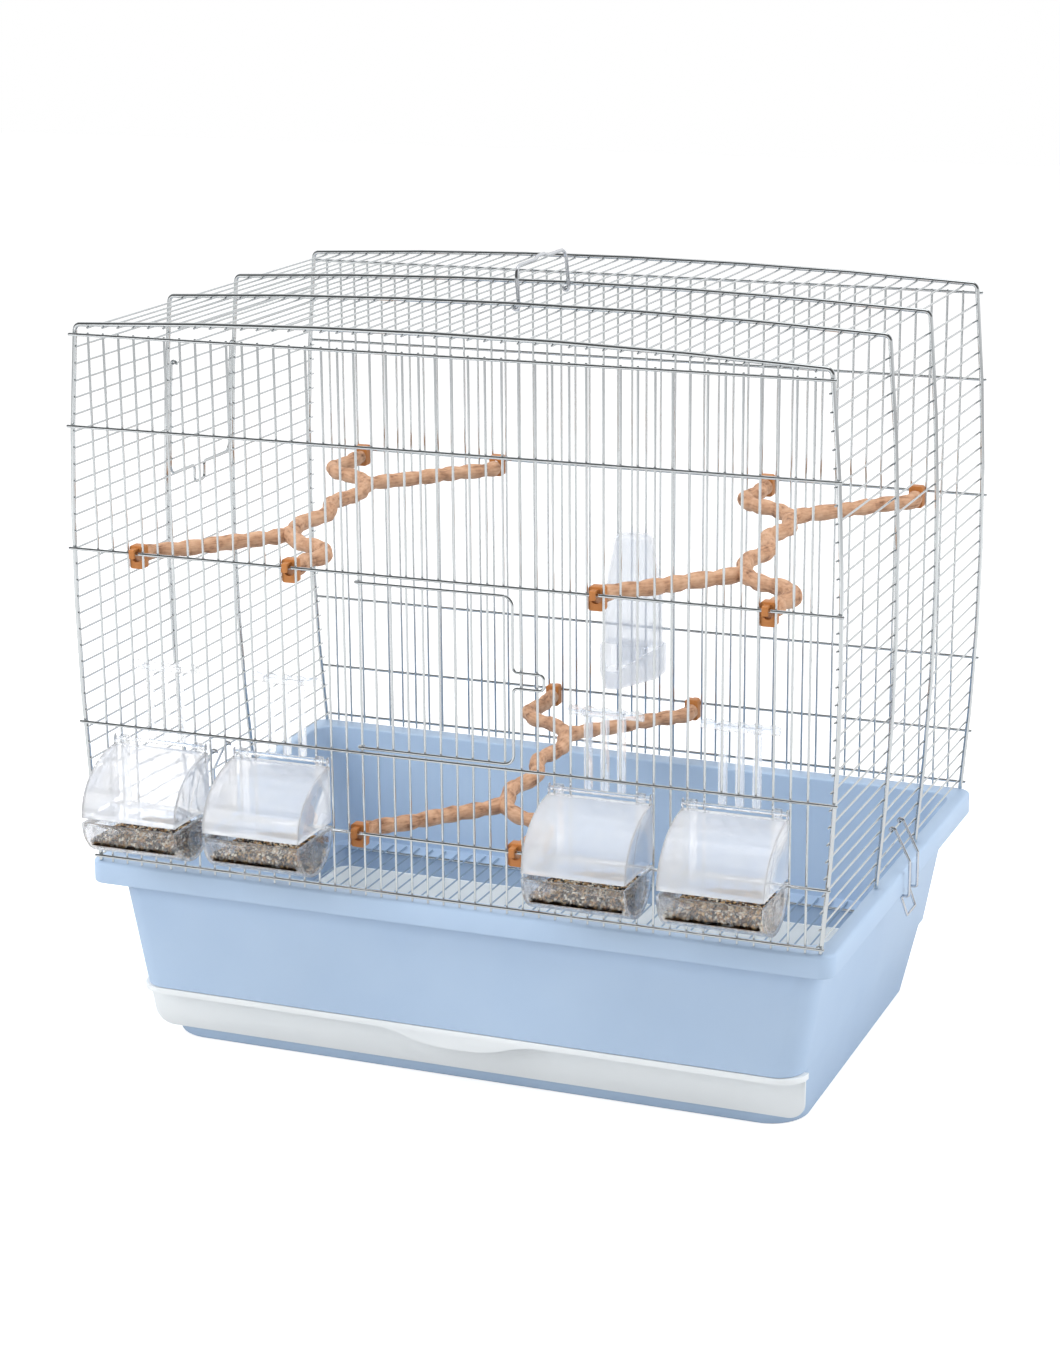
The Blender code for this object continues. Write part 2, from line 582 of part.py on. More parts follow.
def make_drawer():
    origin = (0.0, -FLANGE_FRONT_Y, TRAY_LOW_Z)
    front = -well_half_depth(TRAY_LOW_Z) - FIT_GAP - FACE_WALL / 2
    half_y = (TRAY_BACK_Y - front) / 2
    middle = (0.0, (TRAY_BACK_Y + front) / 2)
    top = TRAY_LOW_Z + TRAY_HEIGHT
    bm = bmesh.new()
    add_loft(bm, [
        rounded_rect(TRAY_HALF_WIDTH - TRAY_DRAFT, half_y - TRAY_DRAFT, TRAY_CORNER, TRAY_LOW_Z, middle),
        rounded_rect(TRAY_HALF_WIDTH, half_y, TRAY_CORNER, top, middle),
        rounded_rect(TRAY_HALF_WIDTH - TRAY_WALL, half_y - TRAY_WALL, TRAY_CORNER - TRAY_WALL, top, middle),
        rounded_rect(TRAY_HALF_WIDTH - TRAY_WALL - TRAY_DRAFT, half_y - TRAY_WALL - TRAY_DRAFT,
                     TRAY_CORNER - TRAY_WALL, TRAY_LOW_Z + TRAY_WALL, middle)])
    for vert in bm.verts:
        if vert.co.y < 0.0:
            vert.co.y -= well_half_depth(vert.co.z) - well_half_depth(TRAY_LOW_Z)
    drawer = add_object("drawer_tray", bm, WHITE_PLASTIC, origin)

    bm = bmesh.new()
    outline = [(-FACE_TOP_HALF_WIDTH, FLANGE_LOW_Z + JOIN)]
    low_x = FACE_LOW_HALF_WIDTH - FACE_CORNER
    for side in (-1, 1):
        for step in range(BOX_SEGMENTS + 1):
            turn = (step if side < 0 else BOX_SEGMENTS - step) / BOX_SEGMENTS * pi / 2
            outline.append((side * (low_x + FACE_CORNER * cos(turn)),
                            TRAY_LOW_Z + FACE_CORNER * (1 - sin(turn))))
    outline.append((FACE_TOP_HALF_WIDTH, FLANGE_LOW_Z + JOIN))
    add_prism(bm, outline, 1, -FACE_WALL - FIT_GAP, -FIT_GAP)
    for vert in bm.verts:
        vert.co.y -= well_half_depth(vert.co.z)
    boolean(drawer, "UNION", "drawer_face", bm, WHITE_PLASTIC)

    bm = bmesh.new()
    back = WELL_TOP_HALF_DEPTH + FIT_GAP
    corner_x = FLANGE_HALF_WIDTH - FLANGE_CORNER
    corner_y = FLANGE_FRONT_Y - FLANGE_CORNER
    outline = [(FLANGE_HALF_WIDTH, -back)]
    for side in (1, -1):
        for step in range(1, BOX_SEGMENTS + 1):
            turn = (step if side > 0 else BOX_SEGMENTS - step + 1) / BOX_SEGMENTS * pi / 2
            outline.append((side * (corner_x + FLANGE_CORNER * cos(turn)),
                            -corner_y - FLANGE_CORNER * sin(turn)))
    outline.append((-FLANGE_HALF_WIDTH, -back))
    add_prism(bm, outline, 2, FLANGE_LOW_Z, FLANGE_TOP_Z)
    boolean(drawer, "UNION", "drawer_flange", bm, WHITE_PLASTIC)

    bm = bmesh.new()
    outline = []
    for side in (-1, 1):
        for step in range(PULL_STEPS + 1):
            share = step / PULL_STEPS if side < 0 else 1 - step / PULL_STEPS
            outline.append((side * (PULL_HALF_WIDTH + PULL_SWEEP * (1 - share)),
                            FLANGE_LOW_Z + JOIN - (PULL_DROP + JOIN) * (1 - cos(pi * share)) / 2))
    add_prism(bm, outline, 1, -FLANGE_FRONT_Y + JOIN / 2, -FLANGE_FRONT_Y + JOIN / 2 + PULL_WALL)
    boolean(drawer, "UNION", "drawer_pull", bm, WHITE_PLASTIC)
    return drawer


# Cage panels

def feeding_wires():
    return {k + step for k in FEEDER_WIRES for step in (-1, 0, 1)}


def rail_paths(face, levels):
    """Rails outside the uprights of the front (face -1) or back (face 1)."""
    rails = []
    for z in levels:
        seat = RAIL_WELD_Y if z in (RAIL_TOP_Z, RAIL_BOTTOM_Z) else RAIL_PASS_Y
        reach = (side_x(z) if z < ROOF_SPLIT_Z else side_x(ROOF_SPLIT_Z)) + RAIL_PAST_HOOP
        rails.append((((-reach, face * seat, z), (reach, face * seat, z)), RAIL_RADIUS, Y_AXIS))
    return rails


RAIL_LEVELS = (RAIL_TOP_Z, RAIL_UPPER_Z, RAIL_PERCH_Z, RAIL_FEEDER_Z, RAIL_LOW_Z, RAIL_BOTTOM_Z)


def make_front():
    top = RAIL_TOP_Z + RAIL_RADIUS + WIRE_PAST_RAIL
    wires = []
    for k in PANEL_WIRES:
        x = k * WIRE_PITCH
        y = -WIRE_Y - (WELD_STEP if abs(k) == WIRES_EACH_SIDE else 0.0)
        spans = [(CAGE_LOW_Z, top)]
        if abs(k) <= DOOR_WIRES_EACH_SIDE:
            spans = [(CAGE_LOW_Z, RAIL_FEEDER_Z), (RAIL_PERCH_Z, top)]
        if k in feeding_wires():
            spans = [(CAGE_LOW_Z, RAIL_LOW_Z), (RAIL_FEEDER_Z, top)]
        for low, high in spans:
            wires.append((((x, y, low), (x, y, high)), WIRE_RADIUS, Y_AXIS))
    return wire_panel("front_grille", wires, rail_paths(-1, RAIL_LEVELS))


def make_back():
    """The back's uprights stay clear of the top rail, which the two end wires carry."""
    top = RAIL_TOP_Z + RAIL_RADIUS + WIRE_PAST_RAIL
    wires = []
    for k in PANEL_WIRES:
        x = k * WIRE_PITCH
        y = WIRE_Y + (WELD_STEP if abs(k) == WIRES_EACH_SIDE else 0.0)
        wires.append((((x, y, CAGE_LOW_Z), (x, y, top)), WIRE_RADIUS, Y_AXIS))
    rails = rail_paths(1, RAIL_LEVELS[1:])
    reach = side_x(ROOF_SPLIT_Z) + RAIL_PAST_HOOP
    rails.append((((-reach, RAIL_PASS_Y, RAIL_TOP_Z), (reach, RAIL_PASS_Y, RAIL_TOP_Z)),
                  RAIL_RADIUS, Y_AXIS))
    return wire_panel("back_grille", wires, rails)


def hoop_side_path(side, y, inward):
    return [(side * (x - inward), y, z) for z, x in SIDE_KNOTS]


HOOP_PLACES = (-HOOP_END_Y, -HOOP_MID_Y, HOOP_MID_Y, HOOP_END_Y)
DOOR_LEVELS = range(SIDE_DOOR_LOW_LEVEL + 1, SIDE_DOOR_HINGE_LEVEL)


def make_side(name, side, cut_levels):
    """Level wires inside four uprights. The first upright holds them all, the end wires hold the rest."""
    rails = []
    for y in HOOP_PLACES:
        inward = WELD_STEP if y == HOOP_PLACES[0] else 0.0
        rails.append((hoop_side_path(side, y, inward), HOOP_RADIUS, X_AXIS))
    past = HOOP_RADIUS + CUT_WIRE_SHORT
    wires = []
    for level in range(SIDE_WIRES):
        z = side_wire_z(level)
        x = side * (side_x(z) - THIN_SEAT)
        outward = side * (side_x(z) - THIN_SEAT + WELD_STEP)
        if level in (0, SIDE_WIRES - 1):
            wires.append((((outward, -HOOP_END_Y - past, z), (outward, HOOP_END_Y + past, z)),
                          THIN_RADIUS, X_AXIS))
        elif level in cut_levels:
            wires.append((((x, -HOOP_END_Y - past, z), (x, -HOOP_MID_Y + past, z)), THIN_RADIUS, X_AXIS))
            wires.append((((outward, HOOP_MID_Y - past, z), (outward, HOOP_END_Y + past, z)),
                          THIN_RADIUS, X_AXIS))
        else:
            wires.append((((x, -HOOP_END_Y - past, z), (x, HOOP_END_Y + past, z)), THIN_RADIUS, X_AXIS))
    return wire_panel(name, wires, rails)


def hoop_roof_path(y, inward):
    """Roof stretch of a hoop: short uprights, rounded corners and the shallow roof arc."""
    arc = [Vector((x, y, z - inward)) for x, z in ROOF_KNOTS]
    foot = Vector((side_x(ROOF_SPLIT_Z) - inward, y, ROOF_SPLIT_Z + FIT_GAP))
    corner = Vector((ROOF_CORNER_X - inward, y, ROOF_CORNER_Z - inward))
    right = rounded_path([foot, corner, arc[-1]], ROOF_CORNER_RADIUS, CORNER_SEGMENTS)[:-1]
    left = [Vector((-p.x, y, p.z)) for p in reversed(right)]
    return right + arc[::-1] + left


def make_roof():
    rails = []
    for y in HOOP_PLACES:
        inward = WELD_STEP if y == HOOP_PLACES[0] else 0.0
        rails.append((hoop_roof_path(y, inward), HOOP_RADIUS, Y_AXIS))
    past = HOOP_RADIUS + CUT_WIRE_SHORT
    wires = []
    for k in PANEL_WIRES:
        x = k * WIRE_PITCH
        z = roof_z(x) - THIN_SEAT + (WELD_STEP if abs(k) == WIRES_EACH_SIDE else 0.0)
        wires.append((((x, -HOOP_END_Y - past, z), (x, HOOP_END_Y + past, z)), THIN_RADIUS, Z_AXIS))
    return wire_panel("roof_grille", wires, rails)


def make_floor_grille():
    """Wires from ledge to ledge over two cross wires that hang between the ledges."""
    wire_z = LEDGE_TOP_Z + FIT_GAP + THIN_RADIUS
    end = (WELL_TOP_HALF_DEPTH + BODY_LOW_HALF_DEPTH) / 2
    cross_y = WELL_TOP_HALF_DEPTH - BASE_WALL - RAIL_RADIUS - CUT_WIRE_SHORT
    weld_z = wire_z - (THIN_RADIUS + RAIL_RADIUS - WELD_SINK)
    reach = (FLOOR_WIRES_EACH_SIDE + 1 / 4) * WIRE_PITCH
    rails = [(((-reach, -cross_y, weld_z), (reach, -cross_y, weld_z)), RAIL_RADIUS, Z_AXIS),
             (((-reach, cross_y, weld_z - WELD_STEP), (reach, cross_y, weld_z - WELD_STEP)),
              RAIL_RADIUS, Z_AXIS)]
    wires = []
    for k in range(-FLOOR_WIRES_EACH_SIDE, FLOOR_WIRES_EACH_SIDE + 1):
        x = k * WIRE_PITCH
        low = WELD_STEP if abs(k) == FLOOR_WIRES_EACH_SIDE else 0.0
        path = [(x, -end, wire_z), (x, end, wire_z)]
        if low:
            dip = cross_y - OVERRUN
            path = [(x, -end, wire_z), (x, -dip, wire_z), (x, dip, wire_z - low), (x, cross_y, wire_z - low)]
        wires.append((path, THIN_RADIUS, Z_AXIS))
    return wire_panel("floor_grille", wires, rails)


# Doors, handle and latches

def make_front_door():
    """Frame in front of the wires, hooked round the hinge wire, with a tongue over the far wires."""
    hinge_x = DOOR_HINGE_WIRE * WIRE_PITCH
    origin = (hinge_x, -WIRE_Y, (RAIL_PERCH_Z + RAIL_FEEDER_Z) / 2)
    top = RAIL_PERCH_Z - DOOR_TOP_DROP
    low = RAIL_FEEDER_Z + DOOR_LOW_RISE
    eye = WIRE_RADIUS + FIT_GAP + DOOR_RADIUS
    y = -WIRE_Y - eye
    sweep = radians(HOOK_DEGREES)
    steps = 2 * BEND_SEGMENTS
    upper = hook_path((hinge_x, -WIRE_Y, top), eye, -pi / 2 - sweep, sweep, steps, X_AXIS, Y_AXIS)
    lower = hook_path((hinge_x, -WIRE_Y, low), eye, -pi / 2 - sweep, sweep, steps, X_AXIS, Y_AXIS)
    high_mid = (DOOR_RIGHT_X, y, (top + TONGUE_TOP_Z) / 2)
    low_mid = (DOOR_RIGHT_X, y, (low + TONGUE_LOW_Z) / 2)
    frame = rounded_path([upper[-1], (DOOR_RIGHT_X, y, top), high_mid], DOOR_CORNER, BEND_SEGMENTS)[1:-1]
    tongue = rounded_path([high_mid, (DOOR_RIGHT_X, y, TONGUE_TOP_Z), (TONGUE_X, y, TONGUE_TOP_Z),
                           (TONGUE_X, y, TONGUE_LOW_Z), (DOOR_RIGHT_X, y, TONGUE_LOW_Z), low_mid],
                          BEND_RADIUS, BEND_SEGMENTS)[1:-1]
    foot = rounded_path([low_mid, (DOOR_RIGHT_X, y, low), lower[-1]], DOOR_CORNER, BEND_SEGMENTS)[1:-1]
    path = upper + frame + tongue + foot + lower[::-1]
    inner_y = y + (WIRE_RADIUS + DOOR_RADIUS - WELD_SINK)
    wires = []
    for k in range(-DOOR_WIRES_EACH_SIDE, DOOR_WIRES_EACH_SIDE + 1):
        x = k * WIRE_PITCH
        ends = ((x, inner_y, low - DOOR_RADIUS / 2), (x, inner_y, top + DOOR_RADIUS / 2))
        wires.append((ends, WIRE_RADIUS, Y_AXIS))
    return wire_panel("front_door", wires, [(path, DOOR_RADIUS, Y_AXIS)], origin)


def make_side_door():
    """Bent frame outside the wires, hooked over a side wire at its top, with its own level wires."""
    hinge_z = side_wire_z(SIDE_DOOR_HINGE_LEVEL)
    hinge_x = -(side_x(hinge_z) - THIN_SEAT)
    eye = THIN_RADIUS + FIT_GAP + DOOR_RADIUS
    out = X_AXIS * -1

    def frame_point(y, z):
        return Vector((-(side_x(z) - THIN_SEAT + eye), y, z))

    sweep = radians(HOOK_DEGREES)
    steps = 2 * BEND_SEGMENTS
    levels = [side_wire_z(level) for level in reversed(DOOR_LEVELS)]
    low = side_wire_z(SIDE_DOOR_LOW_LEVEL)
    tip = side_wire_z(SIDE_DOOR_LOW_LEVEL - 1) - SIDE_TONGUE_PAST_WIRE

    def leg(y):
        hook = hook_path((hinge_x, y, hinge_z), eye, sweep, -sweep, steps, out, Z_AXIS)
        return hook + [frame_point(y, z) for z in levels[:-1]]

    front = -SIDE_DOOR_HALF_WIDTH
    back = SIDE_DOOR_HALF_WIDTH
    near = SIDE_TONGUE_Y - SIDE_TONGUE_HALF_WIDTH
    far = SIDE_TONGUE_Y + SIDE_TONGUE_HALF_WIDTH
    corner_in = rounded_path([frame_point(front, levels[-2]), frame_point(front, low), frame_point(near, low)],
                             SIDE_DOOR_CORNER, BEND_SEGMENTS)[1:-1]
    tongue = rounded_path([frame_point((front + near) / 2, low), frame_point(near, low), frame_point(near, tip),
                           frame_point(far, tip), frame_point(far, low), frame_point((back + far) / 2, low)],
                          BEND_RADIUS, BEND_SEGMENTS)[1:-1]
    corner_out = rounded_path([frame_point(far, low), frame_point(back, low), frame_point(back, levels[-2])],
                              SIDE_DOOR_CORNER, BEND_SEGMENTS)[1:-1]
    path = leg(front) + corner_in + tongue + corner_out + leg(back)[::-1]
    wires = []
    for z in levels:
        x = -(side_x(z) - THIN_SEAT + eye - (THIN_RADIUS + DOOR_RADIUS - WELD_SINK))
        wires.append((((x, front - DOOR_RADIUS / 2, z), (x, back + DOOR_RADIUS / 2, z)), THIN_RADIUS, X_AXIS))
    return wire_panel("side_door", wires, [(path, DOOR_RADIUS, X_AXIS)], (hinge_x, 0.0, hinge_z))


def make_handle():
    """A bent wire whose ends hook under the middle roof wire, just inside the middle hoops."""
    hinge_z = roof_z(0.0) - THIN_SEAT
    eye = THIN_RADIUS + FIT_GAP + HANDLE_RADIUS
    sweep = radians(HOOK_DEGREES)
    top = hinge_z + HANDLE_RISE

    def leg(end):
        y = end * HANDLE_HALF_LENGTH
        hook = hook_path((0.0, y, hinge_z), eye, -sweep, sweep, 2 * BEND_SEGMENTS, X_AXIS, Z_AXIS)
        rise = rounded_path([hook[-1], (0.0, y, top), (0.0, 2 * end * HANDLE_KINK_HALF, top)],
                            HANDLE_CORNER, BEND_SEGMENTS)[1:]
        return hook + rise + [Vector((0.0, end * HANDLE_KINK_HALF, top + HANDLE_KINK))]

    bm = bmesh.new()
    add_rod(bm, leg(-1) + leg(1)[::-1], HANDLE_RADIUS, Y_AXIS, BENT_WIRE_SIDES)
    return add_object("roof_handle", bm, ZINC_WIRE, (0.0, 0.0, hinge_z))


def make_latch(name, side):
    """A bent wire that hangs on a side wire, passes outside the rim and hooks under its lip."""
    hinge_z = side_wire_z(LATCH_LEVEL)
    hinge_x = side_x(hinge_z) - THIN_SEAT
    eye = THIN_RADIUS + FIT_GAP + LATCH_RADIUS
    under_z = LIP_LOW_Z - LATCH_PLAY - LATCH_RADIUS
    sweep = radians(HOOK_DEGREES)
    steps = 2 * BEND_SEGMENTS

    def leg(y):
        hook = hook_path((hinge_x, y, hinge_z), eye, sweep, -sweep, steps, X_AXIS, Z_AXIS)
        bends = rounded_path([hook[-1], (LATCH_BULGE_X, y, RIM_TOP_Z + LIP_DROP / 2),
                              (LATCH_BULGE_X, y, under_z), (RIM_HALF_WIDTH - LATCH_UNDER_LIP, y, under_z),
                              (LATCH_TAB_X, y, LATCH_TAB_Z)], LATCH_BEND, 2)[1:]
        return hook + bends

    path = leg(-LATCH_HALF_WIDTH) + leg(LATCH_HALF_WIDTH)[::-1]
    path = [(side * p[0], p[1], p[2]) for p in path]
    bm = bmesh.new()
    add_rod(bm, path, LATCH_RADIUS, X_AXIS, BENT_WIRE_SIDES)
    return add_object(name, bm, ZINC_WIRE, (side * hinge_x, 0.0, hinge_z))


# Feeders

FEEDER_BACK_Y = -(RAIL_OUTER_Y + FIT_GAP)
FEEDER_CENTRE_Y = FEEDER_BACK_Y - JOIN / 2 - FEEDER_RADIUS
HOOD_BAR_Y = FEEDER_BACK_Y - HOOD_LUG_RADIUS
HOOD_BACK_Y = FEEDER_BACK_Y - ARM_WALL - FIT_GAP
HOOD_TOP_Z = HOOD_BAR_Z - HOOD_LUG_RADIUS - FIT_GAP


def bucket(radius, top):
    """Half-round section in (y, z), cut off level at its top, from the back over the bottom to the front."""
    turns = spread(0.0, pi, FEEDER_SEGMENTS)
    points = [(FEEDER_CENTRE_Y + radius * cos(t), FEEDER_RIM_Z - radius * sin(t)) for t in turns]
    share = (points[0][1] - top) / (points[0][1] - points[1][1])
    cut = radius + (points[1][0] - points[0][0]) * share
    points[0] = (FEEDER_CENTRE_Y + cut, top)
    points[-1] = (FEEDER_CENTRE_Y - cut, top)
    return points


def eye_outline(front_y, back_y, low_z):
    """Section in (y, z) of a plate that ends in a round eye on the hood's hinge line."""
    turns = spread(0.0, radians(EYE_DEGREES), EYE_SEGMENTS)
    eye = [(HOOD_BAR_Y + HOOD_LUG_RADIUS * cos(t), HOOD_BAR_Z + HOOD_LUG_RADIUS * sin(t)) for t in turns]
    return [(back_y, low_z)] + eye + [(front_y, HOOD_BAR_Z - HOOD_LUG_RADIUS), (front_y, low_z)]


def make_feeder_tray(number, k):
    """A half-round bucket with two eyed arms that carry the hood and two hooks over the low rail."""
    x = k * WIRE_PITCH
    half = FEEDER_WIDTH / 2
    bm = bmesh.new()
    add_prism(bm, bucket(FEEDER_RADIUS, FEEDER_RIM_Z), 0, x - half, x + half)
    tray = add_object("feeder_tray_%d" % number, bm, CLEAR_PLASTIC)

    bm = bmesh.new()
    inner = bucket(FEEDER_RADIUS - FEEDER_WALL, FEEDER_RIM_Z)
    above = FEEDER_RIM_Z + OVERRUN
    add_prism(bm, [(inner[0][0], above)] + inner + [(inner[-1][0], above)], 0,
              x - half + FEEDER_WALL, x + half - FEEDER_WALL)
    boolean(tray, "DIFFERENCE", "feeder_hollow_%d" % number, bm, CLEAR_PLASTIC)

    bm = bmesh.new()
    arm = eye_outline(FEEDER_BACK_Y - ARM_WALL, FEEDER_BACK_Y, FEEDER_RIM_Z - ARM_ROOT)
    over = RAIL_LOW_Z + RAIL_RADIUS + FIT_GAP
    behind = -(RAIL_PASS_Y - RAIL_RADIUS - FIT_GAP)
    root = FEEDER_BACK_Y - FEEDER_WALL / 2
    hook = [(root, over), (behind, over), (behind, over - FEEDER_HOOK_DROP),
            (behind + FEEDER_HOOK_WALL, over - FEEDER_HOOK_DROP),
            (behind + FEEDER_HOOK_WALL, over + FEEDER_HOOK_WALL), (root, over + FEEDER_HOOK_WALL)]
    boss = (FEEDER_CENTRE_Y, FEEDER_RIM_Z - BOSS_DROP)
    for side in (-1, 1):
        outer = x + side * (half - FEEDER_WALL - ARM_INSET)
        add_prism(bm, arm, 0, *sorted((outer, outer - side * ARM_WIDTH)))
        add_pin(bm, boss, BOSS_RADIUS, BOSS_SIDES, 0,
                *sorted((x + side * (half - JOIN), x + side * (half + BOSS_PROUD))))
    boolean(tray, "UNION", "feeder_arms_%d" % number, bm, CLEAR_PLASTIC)

    bm = bmesh.new()
    for side in (-1, 1):
        middle = x + side * WIRE_PITCH * 3 / 2
        add_prism(bm, hook, 0, middle - FEEDER_HOOK_WIDTH / 2, middle + FEEDER_HOOK_WIDTH / 2)
    boolean(tray, "UNION", "feeder_hooks_%d" % number, bm, CLEAR_PLASTIC)

    bm = bmesh.new()
    reach = half - FEEDER_WALL - FIT_GAP
    add_pin(bm, (HOOD_BAR_Y, HOOD_BAR_Z), HOOD_BAR_RADIUS + FIT_GAP, SOCKET_SIDES, 0, x - reach, x + reach)
    boolean(tray, "DIFFERENCE", "feeder_bores_%d" % number, bm, CLEAR_PLASTIC)
    return tray


def hood_curve(shrink, low_z):
    """Quarter ellipse in (y, z) from the hood's top to its front edge."""
    wide = HOOD_BACK_Y - (FEEDER_CENTRE_Y - FEEDER_RADIUS) - shrink
    tall = HOOD_TOP_Z - HOOD_LOW_Z - shrink
    curve = [(HOOD_BACK_Y - wide * sin(t), HOOD_LOW_Z + tall * cos(t))
             for t in spread(0.0, pi / 2, HOOD_SEGMENTS)]
    return curve[:-1] + [(curve[-1][0], low_z)]


def make_feeder_hood(number, k):
    """A clear shell open to the cage and below, hanging on a bar between its two ears."""
    x = k * WIRE_PITCH
    half = FEEDER_WIDTH / 2
    origin = (x, HOOD_BAR_Y, HOOD_BAR_Z)
    bm = bmesh.new()
    add_prism(bm, [(HOOD_BACK_Y, HOOD_LOW_Z)] + hood_curve(0.0, HOOD_LOW_Z), 0, x - half, x + half)
    hood = add_object("feeder_hood_%d" % number, bm, CLEAR_PLASTIC, origin)

    bm = bmesh.new()
    behind = HOOD_BACK_Y + OVERRUN
    under = HOOD_LOW_Z - OVERRUN
    top = HOOD_TOP_Z - FEEDER_WALL
    add_prism(bm, [(behind, under), (behind, top)] + hood_curve(FEEDER_WALL, under), 0,
              x - half + FEEDER_WALL, x + half - FEEDER_WALL)
    boolean(hood, "DIFFERENCE", "hood_hollow_%d" % number, bm, CLEAR_PLASTIC)

    bm = bmesh.new()
    ear = eye_outline(HOOD_BAR_Y - HOOD_LUG_RADIUS, HOOD_BACK_Y - JOIN, HOOD_TOP_Z - 2 * HOOD_LUG_RADIUS)
    ear = [(min(y, HOOD_BACK_Y - JOIN), z) for y, z in ear]
    for side in (-1, 1):
        outer = x + side * (half - JOIN / 2)
        add_prism(bm, ear, 0, *sorted((outer, outer - side * (FEEDER_WALL - JOIN))))
    boolean(hood, "UNION", "hood_ears_%d" % number, bm, CLEAR_PLASTIC)

    bm = bmesh.new()
    reach = half - FEEDER_WALL / 2
    add_pin(bm, (HOOD_BAR_Y, HOOD_BAR_Z), HOOD_BAR_RADIUS, SOCKET_SIDES, 0, x - reach, x + reach)
    boolean(hood, "UNION", "hood_bar_%d" % number, bm, CLEAR_PLASTIC)
    return hood


def make_seed_bed(number, k):
    x = k * WIRE_PITCH
    half = FEEDER_WIDTH / 2 - FEEDER_WALL - FIT_GAP
    bm = bmesh.new()
    add_prism(bm, bucket(FEEDER_RADIUS - FEEDER_WALL - FIT_GAP, SEED_TOP_Z), 0, x - half, x + half)
    return add_object("seed_bed_%d" % number, bm, SEED_MIX)


def make_comb(number, k):
    """A scalloped bar with three prongs behind the cut wires, guided by bores round them."""
    x = k * WIRE_PITCH
    near = -WIRE_Y + WIRE_RADIUS + FIT_GAP
    bar_low = COMB_TOP_Z - COMB_BAR_HEIGHT
    outline = []
    for i in range(COMB_SCALLOPS * COMB_SCALLOP_STEPS + 1):
        share = i / (COMB_SCALLOPS * COMB_SCALLOP_STEPS)
        wave = abs(sin(pi * share * COMB_SCALLOPS))
        outline.append((x + COMB_HALF_WIDTH * (2 * share - 1), COMB_TOP_Z - COMB_SCALLOP * (1 - wave)))
    outline.append((x + COMB_HALF_WIDTH, bar_low))
    for step in (1, 0, -1):
        middle = x + step * WIRE_PITCH
        right, left = middle + PRONG_WIDTH / 2, middle - PRONG_WIDTH / 2
        outline += [(right, bar_low), (right, PRONG_TIP_Z + PRONG_WIDTH / 4), (middle, PRONG_TIP_Z),
                    (left, PRONG_TIP_Z + PRONG_WIDTH / 4), (left, bar_low)]
    outline.append((x - COMB_HALF_WIDTH, bar_low))
    bm = bmesh.new()
    add_prism(bm, outline, 1, near, near + COMB_WALL)
    comb = add_object("feeder_comb_%d" % number, bm, CLEAR_PLASTIC, (x, near, COMB_TOP_Z))

    bm = bmesh.new()
    reach = WIRE_PITCH + GUIDE_PAST_WIRE
    front = -WIRE_Y - WIRE_RADIUS - FIT_GAP - GUIDE_WALL
    add_box(bm, (x - reach, front, bar_low + JOIN), (x + reach, near + JOIN, bar_low + JOIN + GUIDE_HEIGHT))
    boolean(comb, "UNION", "comb_guide_%d" % number, bm, CLEAR_PLASTIC)

    bm = bmesh.new()
    for step in (-1, 0, 1):
        add_pin(bm, (x + step * WIRE_PITCH, -WIRE_Y), WIRE_RADIUS + FIT_GAP, BORE_SIDES, 2,
                bar_low - OVERRUN / 2, COMB_TOP_Z + OVERRUN)
    boolean(comb, "DIFFERENCE", "comb_bores_%d" % number, bm, CLEAR_PLASTIC)
    return comb


# Perches and clips

CLIP_FACE_Y = WIRE_Y - WIRE_RADIUS - FIT_GAP - CLIP_DEPTH
PERCH_END_Y = CLIP_FACE_Y - FIT_GAP
PERCH_REACH = PERCH_SPAN_WIRES * WIRE_PITCH

# Plan of half a limb and of a side branch, as shares of the perch's reach along X and Y
LIMB_SHARES = ((-1.00, -0.93), (-0.66, -0.82), (-0.33, -0.68), (0.13, -0.49), (0.02, -0.29), (0.11, -0.10))
BRANCH_SHARES = ((0.11, -0.47), (0.49, -0.60), (0.82, -0.65), (1.04, -0.76), (0.96, -0.87), (1.00, -0.93))
LIMB_RADIUS_SHARES = (0.86, 1.02, 0.88, 1.15, 0.94, 1.08)
BRANCH_RADIUS_SHARES = (0.72, 0.98, 0.86, 1.10, 0.90, 0.86)


def add_tube(bm, path, radii, sides):
    """Sweeps a round tube whose radius changes from point to point."""
    path = [Vector(p) for p in path]
    runs = [(b - a).normalized() for a, b in zip(path, path[1:])]
    ridge = Z_AXIS
    rings = []
    for i, (point, radius) in enumerate(zip(path, radii)):
        along = (runs[max(i - 1, 0)] + runs[min(i, len(runs) - 1)]).normalized()
        upright = (ridge - along * ridge.dot(along)).normalized()
        across = along.cross(upright)
        turns = [2 * pi * k / sides for k in range(sides)]
        rings.append([point + (upright * cos(t) + across * sin(t)) * radius for t in turns])
    add_loft(bm, rings)


def limb_end(x, end, z):
    """Points and radii of the turned end that sits in a clip, from its tip inwards."""
    tip = end * (PERCH_END_Y + FIT_GAP + STUB_LENGTH)
    face = end * PERCH_END_Y
    points = [(x, tip, z), (x, face, z), (x, face - end * JOIN, z)]
    return points, [STUB_RADIUS, STUB_RADIUS, PERCH_RADIUS * LIMB_RADIUS_SHARES[0]]


